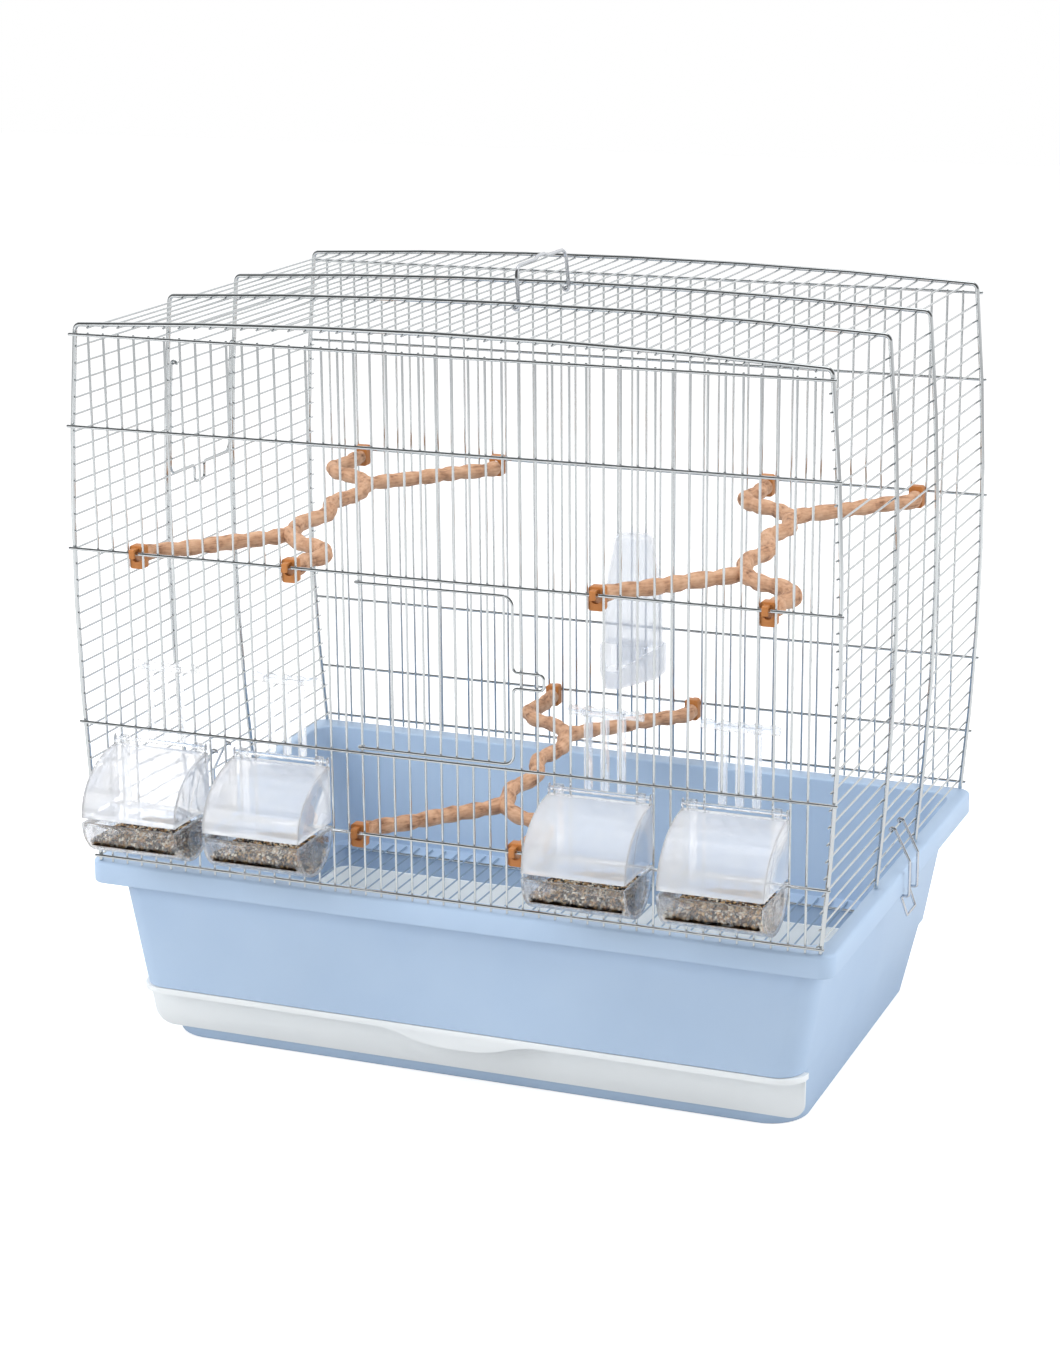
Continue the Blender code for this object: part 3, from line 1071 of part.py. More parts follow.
def make_perch(name, place, rail_z):
    """A knobbly branch of two crossing limbs. Its second half is the first half turned about its middle."""
    x0 = place * WIRE_PITCH
    z = rail_z - PERCH_DROP

    def spots(shares, turn):
        return [(x0 + turn * sx * PERCH_REACH, turn * sy * PERCH_END_Y, z) for sx, sy in shares]

    start, start_radii = limb_end(x0 - PERCH_REACH, -1, z)
    finish, finish_radii = limb_end(x0 + PERCH_REACH, 1, z)
    path = start + spots(LIMB_SHARES, 1) + spots(LIMB_SHARES[::-1], -1) + finish[::-1]
    middle = [PERCH_RADIUS * share for share in LIMB_RADIUS_SHARES]
    bm = bmesh.new()
    add_tube(bm, path, start_radii + middle + middle[::-1] + finish_radii[::-1], PERCH_SIDES)
    perch = add_object(name, bm, PERCH_WOOD)
    for turn in (1, -1):
        tail, tail_radii = limb_end(x0 + turn * PERCH_REACH, -turn, z)
        radii = [PERCH_RADIUS * share for share in BRANCH_RADIUS_SHARES] + tail_radii[::-1]
        bm = bmesh.new()
        add_tube(bm, spots(BRANCH_SHARES, turn) + tail[::-1], radii, PERCH_SIDES)
        boolean(perch, "UNION", "%s_branch_%s" % (name, "front" if turn > 0 else "back"), bm, PERCH_WOOD)
    return perch


def make_clip(number, x, end, rail_z):
    """A socket block inside the wires with a tab hooked over the rail."""
    near = end * CLIP_FACE_Y
    far = end * (CLIP_FACE_Y + CLIP_DEPTH)
    top = rail_z + CLIP_ABOVE_RAIL
    bm = bmesh.new()
    low_y, high_y = sorted((near, far))
    add_box(bm, (x - CLIP_WIDTH / 2, low_y, top - CLIP_HEIGHT), (x + CLIP_WIDTH / 2, high_y, top))
    clip = add_object("perch_clip_%02d" % number, bm, BROWN_PLASTIC)

    over = rail_z + RAIL_RADIUS + FIT_GAP
    outside = RAIL_PASS_Y + RAIL_RADIUS + FIT_GAP
    inside = CLIP_FACE_Y + CLIP_DEPTH - JOIN
    outline = [(inside, over), (outside, over), (outside, rail_z - CLIP_TAB_DROP),
               (outside + CLIP_TAB_WALL, rail_z - CLIP_TAB_DROP), (outside + CLIP_TAB_WALL, over + CLIP_TAB_WALL / 2),
               (outside + CLIP_TAB_WALL / 2, over + CLIP_TAB_WALL), (inside, over + CLIP_TAB_WALL)]
    bm = bmesh.new()
    add_prism(bm, [(end * y, z) for y, z in outline], 0, x - CLIP_TAB_WIDTH / 2, x + CLIP_TAB_WIDTH / 2)
    boolean(clip, "UNION", "clip_tab_%02d" % number, bm, BROWN_PLASTIC)

    bm = bmesh.new()
    start = end * (CLIP_FACE_Y - OVERRUN)
    stop = end * (CLIP_FACE_Y + STUB_LENGTH + FIT_GAP)
    add_pin(bm, (x, rail_z - PERCH_DROP), STUB_RADIUS + FIT_GAP, SOCKET_SIDES, 1, *sorted((start, stop)))
    boolean(clip, "DIFFERENCE", "clip_socket_%02d" % number, bm, BROWN_PLASTIC)
    return clip


def make_perches():
    number = 0
    for name, place, rail_z in PERCH_PLACES:
        make_perch(name, place, rail_z)
        for side in (-1, 1):
            for end in (-1, 1):
                number += 1
                make_clip(number, place * WIRE_PITCH + side * PERCH_REACH, end, rail_z)


# Drinker

DRINKER_BACK_Y = WIRE_Y - WIRE_RADIUS - FIT_GAP
DRINKER_MIDDLE_Y = DRINKER_BACK_Y - BOTTLE_DEPTH / 2
TROUGH_FRONT_Y = DRINKER_BACK_Y - TROUGH_REACH


def make_bottle():
    """A tapered bottle, open below, with two lugs hooked over the back's feeder rail."""
    x = DRINKER_WIRE * WIRE_PITCH
    middle = (x, DRINKER_MIDDLE_Y)
    deep = BOTTLE_DEPTH / 2
    narrow = BOTTLE_TOP_HALF_WIDTH
    wide = BOTTLE_LOW_HALF_WIDTH
    wall = BOTTLE_WALL
    neck_y = NECK_DEPTH / 2
    roof = BOTTLE_TOP_Z - wall
    bm = bmesh.new()
    add_loft(bm, [
        rounded_rect(narrow - BOTTLE_EDGE, deep - BOTTLE_EDGE, deep, BOTTLE_TOP_Z, middle),
        rounded_rect(narrow, deep, deep, BOTTLE_TOP_Z - BOTTLE_EDGE, middle),
        rounded_rect(wide, deep, deep, BOTTLE_SHOULDER_Z, middle),
        rounded_rect(wide, deep, deep, BOTTLE_LOW_Z, middle),
        rounded_rect(NECK_HALF_WIDTH, neck_y, neck_y, BOTTLE_LOW_Z, middle),
        rounded_rect(NECK_HALF_WIDTH, neck_y, neck_y, BOTTLE_LOW_Z - NECK_DROP, middle),
        rounded_rect(NECK_HALF_WIDTH - wall, neck_y - wall, neck_y - wall, BOTTLE_LOW_Z - NECK_DROP, middle),
        rounded_rect(NECK_HALF_WIDTH - wall, neck_y - wall, neck_y - wall, BOTTLE_LOW_Z + wall, middle),
        rounded_rect(wide - wall, deep - wall, deep - wall, BOTTLE_LOW_Z + wall, middle),
        rounded_rect(wide - wall, deep - wall, deep - wall, BOTTLE_SHOULDER_Z, middle),
        rounded_rect(narrow - wall, deep - wall, deep - wall, BOTTLE_TOP_Z - BOTTLE_EDGE, middle),
        rounded_rect(narrow - BOTTLE_EDGE, deep - BOTTLE_EDGE, deep, roof, middle)])
    bottle = add_object("drinker_bottle", bm, MILKY_PLASTIC)

    over = RAIL_FEEDER_Z + RAIL_RADIUS + FIT_GAP
    outside = RAIL_PASS_Y + RAIL_RADIUS + FIT_GAP
    root = DRINKER_BACK_Y - BOTTLE_WALL / 2
    outline = [(root, over), (outside, over), (outside, over - LUG_DROP), (outside + LUG_WALL, over - LUG_DROP),
               (outside + LUG_WALL, over + LUG_WALL), (root, over + LUG_WALL)]
    bm = bmesh.new()
    for side in (-1, 1):
        spot = x + side * WIRE_PITCH
        add_prism(bm, outline, 0, spot - LUG_WIDTH / 2, spot + LUG_WIDTH / 2)
    boolean(bottle, "UNION", "drinker_lugs", bm, MILKY_PLASTIC)
    return bottle


def make_trough():
    """A cup below the bottle that runs forward into a round-nosed drinking trough."""
    x = DRINKER_WIRE * WIRE_PITCH
    top = BOTTLE_LOW_Z - FIT_GAP

    def nose(shrink):
        """Plan of the trough: square behind, round in front."""
        half = TROUGH_HALF_WIDTH - shrink
        turns = spread(0.0, pi, 2 * TROUGH_SEGMENTS)
        front = TROUGH_FRONT_Y + TROUGH_HALF_WIDTH
        return [(x + half, DRINKER_BACK_Y - shrink)] + [(x + half * cos(t), front - half * sin(t)) for t in turns] + [
            (x - half, DRINKER_BACK_Y - shrink)]

    bm = bmesh.new()
    add_prism(bm, nose(0.0), 2, TROUGH_LOW_Z, top)
    trough = add_object("drinker_trough", bm, MILKY_PLASTIC)

    bm = bmesh.new()
    add_prism(bm, nose(TROUGH_WALL), 2, TROUGH_LOW_Z + TROUGH_WALL, top + OVERRUN)
    boolean(trough, "DIFFERENCE", "trough_hollow", bm, MILKY_PLASTIC)
    return trough


def build_all():
    make_base()
    make_drawer()
    make_floor_grille()
    make_front()
    make_back()
    make_side("left_grille", -1, DOOR_LEVELS)
    make_side("right_grille", 1, ())
    make_roof()
    make_front_door()
    make_side_door()
    make_handle()
    make_latch("left_latch", -1)
    make_latch("right_latch", 1)
    for number, k in enumerate(FEEDER_WIRES, 1):
        make_feeder_tray(number, k)
        make_feeder_hood(number, k)
        make_seed_bed(number, k)
        make_comb(number, k)
    make_perches()
    make_bottle()
    make_trough()


build_all()
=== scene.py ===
"""Looks of the bird cage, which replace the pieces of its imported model.

Round plated wires, a moulded base with its drawer, clear feeders with seed, branch perches and a drinker.
Metres, +Z up, front towards -Y.
"""
from functools import partial
from math import cos, pi, radians, sin
from random import Random

import bmesh
import bpy
from mathutils import Matrix, Vector, noise


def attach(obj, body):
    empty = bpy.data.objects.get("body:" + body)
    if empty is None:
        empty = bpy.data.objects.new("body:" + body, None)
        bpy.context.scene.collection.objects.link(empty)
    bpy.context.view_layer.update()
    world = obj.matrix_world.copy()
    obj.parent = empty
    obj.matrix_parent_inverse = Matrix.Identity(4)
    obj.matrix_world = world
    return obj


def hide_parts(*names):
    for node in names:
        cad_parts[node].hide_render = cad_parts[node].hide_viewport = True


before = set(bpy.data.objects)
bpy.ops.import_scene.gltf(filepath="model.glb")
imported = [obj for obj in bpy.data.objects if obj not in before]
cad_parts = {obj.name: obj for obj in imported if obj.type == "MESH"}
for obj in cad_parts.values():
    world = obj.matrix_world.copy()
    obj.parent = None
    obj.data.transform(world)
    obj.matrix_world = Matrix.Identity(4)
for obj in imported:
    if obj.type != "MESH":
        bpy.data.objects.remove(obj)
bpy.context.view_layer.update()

# Wires
WIRE_RADIUS = 0.0009
THIN_RADIUS = 0.00075
RAIL_RADIUS = 0.0012
HOOP_RADIUS = 0.0017
DOOR_RADIUS = 0.0011
LATCH_RADIUS = 0.0011
HANDLE_RADIUS = 0.0014
FIT_GAP = 0.0003
WELD_SINK = 0.0002        # how deep two welded wires melt into each other
FINE_EDGE = 0.0003
ROUND_SIDES = 10
WIRE_END_SHARE = 0.6      # a cut end's radius as a share of the wire's
WIRE_EASE_SHARE = 0.4
WIRE_PITCH = 0.0122
WIRES_EACH_SIDE = 22
SIDE_PITCH = 0.0123
SIDE_WIRES = 32
SIDE_FIRST_Z = 0.1577
FLOOR_WIRES_EACH_SIDE = 20
PANEL_WIRES = range(-WIRES_EACH_SIDE, WIRES_EACH_SIDE + 1)
CUT_WIRE_SHORT = 0.0008

# Hoops
HOOP_PLACES = (-0.196, -0.055, 0.055, 0.196)
HOOP_END_Y = 0.196
HOOP_MID_Y = 0.055
SIDE_BULGE_X = 0.2894
SIDE_BULGE_Z = 0.355
SIDE_ARC_RADIUS = 2.04
ROOF_TOP_Z = 0.5630
ROOF_ARC_RADIUS = 4.98
ROOF_CORNER_RADIUS = 0.008
ROOF_SPLIT_Z = 0.5450
HOOP_SINK = 0.0004        # hoops stand this far inwards, so that the level wires are welded to them

# Rails of the front and back
RAIL_LEVELS = (0.5480, 0.4813, 0.3911, 0.2600, 0.1994, 0.1565)
RAIL_PERCH_Z, RAIL_FEEDER_Z, RAIL_LOW_Z = RAIL_LEVELS[2:5]
RAIL_PAST_HOOP = 0.0028
WIRE_TOP_Z = 0.5497
WIRE_Y = 0.1974
RAIL_Y = WIRE_Y + WIRE_RADIUS + RAIL_RADIUS - WELD_SINK
RAIL_OUTER_Y = 0.2010

# Base. Each ring has its half width, half depth and corner radius
RIM = (0.2885, 0.1995, 0.012)
BODY_TOP = (0.2785, 0.1834, 0.020)
BODY_LOW = (0.2600, 0.1810, 0.020)
WELL_TOP = (0.2595, 0.1620, 0.010)
FOOT = (0.2520, 0.1530, 0.030)
RIM_TOP_Z = 0.1515
LIP_LOW_Z = 0.1345
WALL = 0.0025
LEDGE_Z = 0.0495
BASE_FLOOR = 0.0030
OPENING_PAST = 0.0040     # how far the drawer's cut reaches past the front wall
RUNNER_TOP_Z = 0.0091
RUNNER_WIDTH = 0.006
RUNNER_SINK = 0.0005
RUNNER_X = 0.200
CAGE_LOW_Z = RIM_TOP_Z + FIT_GAP

# Drawer
TRAY_HALF_WIDTH = 0.2450
TRAY_BACK_Y = 0.1440
TRAY_LOW_Z = 0.0094
TRAY_HEIGHT = 0.0310
TRAY_WALL = 0.0020
TRAY_CORNER = 0.012
TRAY_DRAFT = 0.0010
FACE_WALL = 0.0025
FACE_TOP_HALF_WIDTH = 0.2608
FACE_LOW_HALF_WIDTH = 0.2585
FACE_CORNER = 0.013
FLANGE_HALF_WIDTH = 0.2625
FLANGE_FRONT_Y = 0.1812
FLANGE_CORNER = 0.020
FLANGE_TOP_Z = 0.0487
FLANGE_LOW_Z = 0.0442
PULL_DROP = 0.0098
PULL_HALF_WIDTH = 0.0250
PULL_SWEEP = 0.0400
PULL_WALL = 0.0022
PULL_RAMP = 0.0100        # how far its slopes reach past the bends
PULL_STRIP = 0.0300       # the thin strip on both sides of the pull
PULL_STRIP_HEIGHT = 0.0010
PULL_BENDS = ((2, 0.020), (3, 0.014), (4, 0.014), (5, 0.020))
FACE_TOP_Z = FLANGE_LOW_Z + 0.002

# Doors, handle and latches
DOOR_HINGE_WIRE = -5
DOOR_WIRES_EACH_SIDE = 4
DOOR_TOP_Z = 0.3850
DOOR_LOW_Z = 0.2640
DOOR_RIGHT_X = 0.0560
DOOR_CORNER = 0.007
TONGUE_TOP_Z = 0.3310
TONGUE_LOW_Z = 0.3195
TONGUE_X = 0.0790
BEND_RADIUS = 0.0035
HOOK_TURN = radians(200)  # how far an eye closes round its wire
SIDE_DOOR_LEVELS = (21, 28)
SIDE_DOOR_HALF_WIDTH = 0.0490
SIDE_TONGUE_HALF_WIDTH = 0.0080
SIDE_TONGUE_Y = -0.0020
SIDE_TONGUE_PAST_WIRE = 0.0015
HANDLE_HALF_LENGTH = 0.0500
HANDLE_RISE = 0.0285
HANDLE_KINK = 0.0020
HANDLE_KINK_HALF = 0.0060
HANDLE_CORNER = 0.009
LATCH_LEVEL = 2
LATCH_HALF_WIDTH = 0.0115
LATCH_BULGE_X = 0.29245
LATCH_BULGE_Z = 0.1600
LATCH_UNDER_Z = 0.1328
LATCH_UNDER_X = 0.2863
LATCH_TAB_Z = 0.1180
LATCH_TAB_X = 0.2915
LATCH_BEND = 0.0018

# Feeders and combs
FEEDER_WIRES = (-18, -10, 10, 18)
FEEDER_HALF = 0.0380
FEEDER_WALL = 0.0016
FEEDER_RADIUS = 0.0285
FEEDER_RIM_Z = 0.2035
FEEDER_BACK_Y = -0.2013
FEEDER_CENTRE_Y = -0.2301
BOSS_RADIUS = 0.0090
BOSS_DROP = 0.0125
BOSS_HEIGHT = 0.0012
ARM_WIDTH = 0.0050
ARM_WALL = 0.0020
ARM_INSET = 0.0038
ARM_ROOT = 0.0070
HOOD_BAR_Z = 0.2525
HOOD_BAR_Y = -0.2047
HOOD_BAR_RADIUS = 0.0016
HOOD_BACK_Y = -0.2036
HOOD_TOP_Z = 0.2488
HOOD_LOW_Z = 0.2068
HOOD_LUG_RADIUS = 0.0034
EYE_INSET = 0.0003
HOOK_WALL = 0.0015
HOOK_WIDTH = 0.0060
HOOK_DROP = 0.0040
HOOK_BACK_Y = -0.1983
SEED_TOP_Z = 0.1990
SEED_CORE_INSET = 0.0028
SEED_CORE_DROP = 0.0135
SEED_INSET = 0.0009
SEED_RIPPLE = 0.0012
SEED_HEAP_DROP = 0.0035
SEED_SUNK_END = 0.0080
GRAIN_HALF_LENGTH = (0.0014, 0.0019)
GRAIN_HALF_WIDTH = (0.0008, 0.0011)
GRAIN_COUNTS = (1800, 1000, 480)    # round the tray, on top, at both ends
HANDFUL = 40
COMB_TOP_Z = 0.3110
COMB_BAR_HEIGHT = 0.0070
COMB_HALF_WIDTH = 0.0285
COMB_WALL = 0.0026
COMB_Y = -0.1962
COMB_CREST = 0.0020       # height of the waves on its upper edge
COMB_WAVES = 5
PRONG_WIDTH = 0.0060
PRONG_TIP_Z = 0.2500
GUIDE_HEIGHT = 0.0045
GUIDE_WALL = 0.0012
GUIDE_LIFT = 0.0006
GUIDE_END_WIDTH = 0.0018
GUIDE_PAST_WIRE = 0.0035

# Perches, clips and drinker
PERCH_PLACES = (("perch_left", -14.5, RAIL_PERCH_Z), ("perch_right", 14.5, RAIL_PERCH_Z),
                ("perch_low", -0.5, RAIL_LOW_Z))
PERCH_REACH = 0.0610
PERCH_DROP = 0.0040
PERCH_RADIUS = 0.0055
PERCH_END_Y = 0.1879
PERCH_SIDES = 18
JOINT_PINCH = 0.82
JOINT_SWELL = 0.30
JOINT_SPACES = (0.014, 0.024)
BUMPS = ((160, 0.0005), (420, 0.0002))
GRAIN_PITCH = 110
STUB_RADIUS = 0.0034
STUB_LENGTH = 0.0050
SOCKET_RADIUS = STUB_RADIUS + 0.0006
SOCKET_RISE = 0.0010
CLIP_WIDTH = 0.0112
CLIP_DEPTH = 0.0080
CLIP_HEIGHT = 0.0172
CLIP_CORNER = 0.0020
CLIP_ABOVE_RAIL = 0.0052
CLIP_FACE_Y = 0.1882
CLIP_TAB_WIDTH = 0.0044
CLIP_TAB_WALL = 0.0022
CLIP_TAB_DROP = 0.0030
DRINKER_X = 0.0061
DRINKER_BACK_Y = 0.1962
BOTTLE_DEPTH = 0.0240
BOTTLE_WALL = 0.0016
BOTTLE_LOW_Z = 0.2500
BOTTLE_TOP_Z = 0.3410
BOTTLE_SHOULDER_Z = 0.2900
BOTTLE_HALF_WIDTH = 0.0248
BOTTLE_TOP_HALF_WIDTH = 0.0150
NECK_DROP = 0.0180
NECK_HALF_WIDTH = 0.0120
NECK_HALF_DEPTH = 0.0065
LUG_WIDTH = 0.0060
LUG_WALL = 0.0018
LUG_DROP = 0.0060
LUG_SINK = 0.0008
TROUGH_LOW_Z = 0.2240
TROUGH_FRONT_Y = 0.1300
NOSE_HALF_WIDTH = 0.0085
NOSE_Z = 0.2390
TROUGH_WALL = 0.0016

# Studio
FLOOR_HALF = 6.0
FLOOR_DROP = 0.0003
FLOOR_GLOW = 0.64
SOFT_LIGHT = 0.47
# Each lamp's name, place, diameter and power
LAMPS = (("softbox_above", (-0.5, -0.4, 2.3), 2.6, 41.0),
         ("softbox_left", (-1.6, -2.2, 1.2), 1.6, 31.0),
         ("softbox_right", (2.2, 0.3, 1.2), 1.6, 31.0))
LAMP_TARGET = (0.0, 0.0, 0.2)
# What a shiny face sees: the direction's part that counts, where the change starts and ends, and the
# strength at both. The backdrop behind the cage is white, a softbox hangs overhead, and the floor's
# far edge is pale
ROOM_LIGHTS = (("Y", -0.1, 0.3, 0.10, 1.0), ("Z", 0.93, 0.99, 0.0, 2.6), ("Z", 0.0, 0.06, 0.8, 0.0))

X_AXIS, Y_AXIS, Z_AXIS = Vector((1, 0, 0)), Vector((0, 1, 0)), Vector((0, 0, 1))


# Colours and nodes

def srgb(value):
    """Turns an sRGB hex value into the linear colour that shaders mix."""
    parts = [int(value[i:i + 2], 16) / 255 for i in (1, 3, 5)]
    linear = [part / 12.92 if part <= 0.04045 else ((part + 0.055) / 1.055) ** 2.4 for part in parts]
    return (*linear, 1.0)


def add_node(tree, kind, settings=(), links=(), into=None):
    """Adds a shader node, sets its options and sockets, and links what feeds it and what it feeds."""
    made = tree.nodes.new("ShaderNode" + kind)
    for name, value in dict(settings).items():
        if isinstance(name, int) or name in made.inputs:
            made.inputs[name].default_value = value
        else:
            setattr(made, name, value)
    for name, source in dict(links).items():
        if isinstance(source, bpy.types.Node):
            source = source.outputs[0]
        tree.links.new(source, made.inputs[name])
    if into is not None:
        tree.links.new(made.outputs[2 if kind == "Mix" else 0], into)
    return made


def start_material(name, settings):
    """A material, a call that adds nodes to it, its shader's sockets and the place on the object."""
    made = bpy.data.materials.new(name)
    made.use_nodes = True
    shader = made.node_tree.nodes["Principled BSDF"].inputs
    for socket, value in settings.items():
        shader[socket].default_value = value
    add = partial(add_node, made.node_tree)
    return made, add, shader, add("TexCoord").outputs["Object"]


def plated_wire_finish(name, colour, low, high):
    # Drawn steel wire, nickel or zinc plated: a mirror that shows the pale floor below and the room
    # in front, slightly clouded in patches a few millimetres long
    made, add, shader, place = start_material(name, {"Base Color": srgb(colour), "Metallic": 1.0})
    cloud = add("TexNoise", {"Scale": 1 / 0.005, "Detail": 3.0}, {"Vector": place})
    add("MapRange", {"To Min": low, "To Max": high}, {"Value": cloud}, shader["Roughness"])
    pits = add("TexNoise", {"Scale": 1 / 0.0008, "Detail": 2.0}, {"Vector": place})
    add("Bump", {"Strength": 0.06, "Distance": 0.00003}, {"Height": pits}, shader["Normal"])
    return made


def moulded_finish(name, pale, deep, roughness, grit):
    # Injection moulded polypropylene: an even colour with faint flow marks centimetres wide,
    # and the fine grit of a spark-eroded mould, drawn at the given size
    made, add, shader, place = start_material(name, {"Specular IOR Level": 0.5})
    flow = add("TexNoise", {"Scale": 1 / 0.05, "Detail": 2.0}, {"Vector": place})
    add("Mix", {"data_type": "RGBA", 6: srgb(deep), 7: srgb(pale)}, {0: flow}, shader["Base Color"])
    grain = add("TexNoise", {"Scale": 1 / grit, "Detail": 3.0}, {"Vector": place})
    add("MapRange", {"To Min": roughness - 0.06, "To Max": roughness + 0.06}, {"Value": grain},
        shader["Roughness"])
    add("Bump", {"Strength": 0.25, "Distance": 0.00008}, {"Height": grain}, shader["Normal"])
    return made


def clear_polystyrene(name, cover, clarity=1.0):
    # Crystal polystyrene: water clear, glossy and hard, bends light more than acrylic, with slow waves
    # of the moulding in its faces and faint scuffs. Thin bars cover less of what is behind them
    made, add, shader, place = start_material(name, {
        "Transmission Weight": clarity, "IOR": 1.59, "Alpha": cover})
    wave = add("TexNoise", {"Scale": 1 / 0.012, "Detail": 1.0}, {"Vector": place})
    add("Mix", {"data_type": "RGBA", 6: srgb("#F6F9FF"), 7: srgb("#FFFFFF")}, {0: wave}, shader["Base Color"])
    scuff = add("TexNoise", {"Scale": 1 / 0.004, "Detail": 4.0}, {"Vector": place})
    add("MapRange", {"From Min": 0.4, "From Max": 0.7, "To Min": 0.01, "To Max": 0.06}, {"Value": scuff},
        shader["Roughness"])
    add("Bump", {"Strength": 0.4, "Distance": 0.0003}, {"Height": wave}, shader["Normal"])
    return made


def milky_polypropylene(name, cover):
    # Thin natural polypropylene: lets light through but blurs what is behind it, faintly blue
    made, add, shader, place = start_material(name, {
        "Transmission Weight": 0.35, "IOR": 1.49, "Alpha": cover})
    haze = add("TexNoise", {"Scale": 1 / 0.010, "Detail": 2.0}, {"Vector": place})
    add("Mix", {"data_type": "RGBA", 6: srgb("#E3EAF5"), 7: srgb("#EDF2F9")}, {0: haze}, shader["Base Color"])
    add("MapRange", {"To Min": 0.28, "To Max": 0.42}, {"Value": haze}, shader["Roughness"])
    add("Bump", {"Strength": 0.3, "Distance": 0.0002}, {"Height": haze}, shader["Normal"])
    return made


def add_stops(ramp, stops):
    """Gives a colour ramp its stops. The first two exist already."""
    for number, (position, colour) in enumerate(stops):
        stop = ramp.elements[number] if number < 2 else ramp.elements.new(position)
        stop.position = position
        stop.color = srgb(colour)


def perch_finish():
    # Sanded branch wood: matt, tan, with streaks along the limb and random darker and lighter patches, partly
    # its own tone and partly painted shade and painted highlight
    made, add, shader, place = start_material("sanded_branch_wood", {"Roughness": 0.68})
    along = add("Attribute", {"attribute_name": "grain"}).outputs["Vector"]
    streak = add("TexNoise", {"Scale": 1.0, "Detail": 6.0, "Roughness": 0.6}, {"Vector": along})
    patch = add("TexNoise", {"Scale": 1 / 0.009, "Detail": 3.0}, {"Vector": place})
    both = add("Math", {"operation": "ADD"}, {0: streak, 1: patch})
    half = add("Math", {"operation": "MULTIPLY", 1: 0.5}, {0: both})
    tint = add("ValToRGB", (), {"Fac": half}, shader["Base Color"])
    # The darkest and the lightest stop are partly painted shade and painted highlight, spread at random over
    # the limb
    add_stops(tint.color_ramp, ((0.34, "#7C573F"), (0.62, "#D6AE8F"), (0.47, "#C09475")))
    add("Bump", {"Strength": 0.5, "Distance": 0.0004}, {"Height": half}, shader["Normal"])
    return made


def seed_finish():
    # Loose bird seed: dry, slightly waxy hulls, nearly black, brown, tan and cream, one tone a grain
    made, add, shader, place = start_material("mixed_bird_seed", {"Roughness": 0.55})
    tone = add("Attribute", {"attribute_name": "tone"}).outputs["Fac"]
    tint = add("ValToRGB", (), {"Fac": tone})
    tint.color_ramp.interpolation = "CONSTANT"
    add_stops(tint.color_ramp, ((0.0, "#1B1718"), (0.34, "#5A4436"), (0.48, "#B48A5E"), (0.64, "#DAB683"),
                                (0.80, "#F8EFDC")))
    fleck = add("TexNoise", {"Scale": 1 / 0.0009, "Detail": 2.0}, {"Vector": place})
    shade = add("MapRange", {"To Min": 0.7, "To Max": 1.15}, {"Value": fleck})
    add("VectorMath", {"operation": "SCALE"}, {0: tint, "Scale": shade}, shader["Base Color"])
    return made


PLATED_WIRE = plated_wire_finish("nickel_plated_wire", "#D5D9DB", 0.07, 0.14)
ZINC_WIRE = plated_wire_finish("zinc_plated_wire", "#D6D9DE", 0.12, 0.24)
BLUE_PLASTIC = moulded_finish("pale_blue_polypropylene", "#B7CDE6", "#ADC5E1", 0.42, 0.0007)
WHITE_PLASTIC = moulded_finish("white_polypropylene", "#F3F7F9", "#EBF0F3", 0.36, 0.0006)
BROWN_PLASTIC = moulded_finish("tan_brown_polypropylene", "#C9874A", "#B06A31", 0.45, 0.0012)
CLEAR_PLASTIC = clear_polystyrene("clear_polystyrene", 0.75)
THIN_PLASTIC = clear_polystyrene("thin_clear_polystyrene", 0.45)
HOOD_PLASTIC = clear_polystyrene("slightly_hazy_polystyrene", 1.0, 0.70)
BOTTLE_PLASTIC = milky_polypropylene("thin_milky_polypropylene", 0.28)
TROUGH_PLASTIC = milky_polypropylene("milky_polypropylene", 0.42)
BRANCH_WOOD = perch_finish()
BIRD_SEED = seed_finish()


# Making and finishing pieces

def new_object(name, data):
    made = bpy.data.objects.new(name, data)
    bpy.context.scene.collection.objects.link(made)
    return made


def new_mesh(name, bm):
    mesh = bpy.data.meshes.new(name)
    bm.to_mesh(mesh)
    bm.free()
    return mesh


def add_piece(name, bm, material, body, nodes=(), smooth=35, clean=True):
    """Turns a bmesh into a smooth piece that rides a body and stands for its nodes."""
    if clean:
        bmesh.ops.recalc_face_normals(bm, faces=bm.faces)
    mesh = new_mesh(name, bm)
    mesh.materials.append(material)
    mesh.shade_smooth()
    mesh.set_sharp_from_angle(angle=radians(smooth))
    made = new_object(name, mesh)
    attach(made, body)
    if nodes:
        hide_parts(*nodes)
    return made


def add_modifier(piece, kind, **settings):
    step = piece.modifiers.new(kind.lower(), kind)
    for name, value in settings.items():
        setattr(step, name, value)


def give_wall(piece, wall, edge):
    """Thickens an open shell inwards and rounds its edges."""
    add_modifier(piece, "SOLIDIFY", thickness=wall, offset=-1, use_even_offset=True)
    add_modifier(piece, "BEVEL", width=edge, segments=2, limit_method="ANGLE", angle_limit=radians(40))


def bevel(bm, parts, width, segments, affect="EDGES", clamp=False):
    bmesh.ops.bevel(bm, geom=parts, offset=width, segments=segments, profile=0.5, affect=affect,
                    material=-1, clamp_overlap=clamp)


def carve(piece, bm, smooth=35):
    """Cuts a bmesh out of a piece and keeps the result as its mesh."""
    bmesh.ops.recalc_face_normals(bm, faces=bm.faces)
    cutter = new_object("cutter", new_mesh("cutter", bm))
    add_modifier(piece, "BOOLEAN", operation="DIFFERENCE", solver="EXACT", object=cutter)
    ready = piece.evaluated_get(bpy.context.evaluated_depsgraph_get())
    cut = bpy.data.meshes.new_from_object(ready)
    piece.modifiers.clear()
    piece.data = cut
    cut.set_sharp_from_angle(angle=radians(smooth))
    bpy.data.objects.remove(cutter)


def of_kind(parts, kind):
    return [part for part in parts if isinstance(part, kind)]


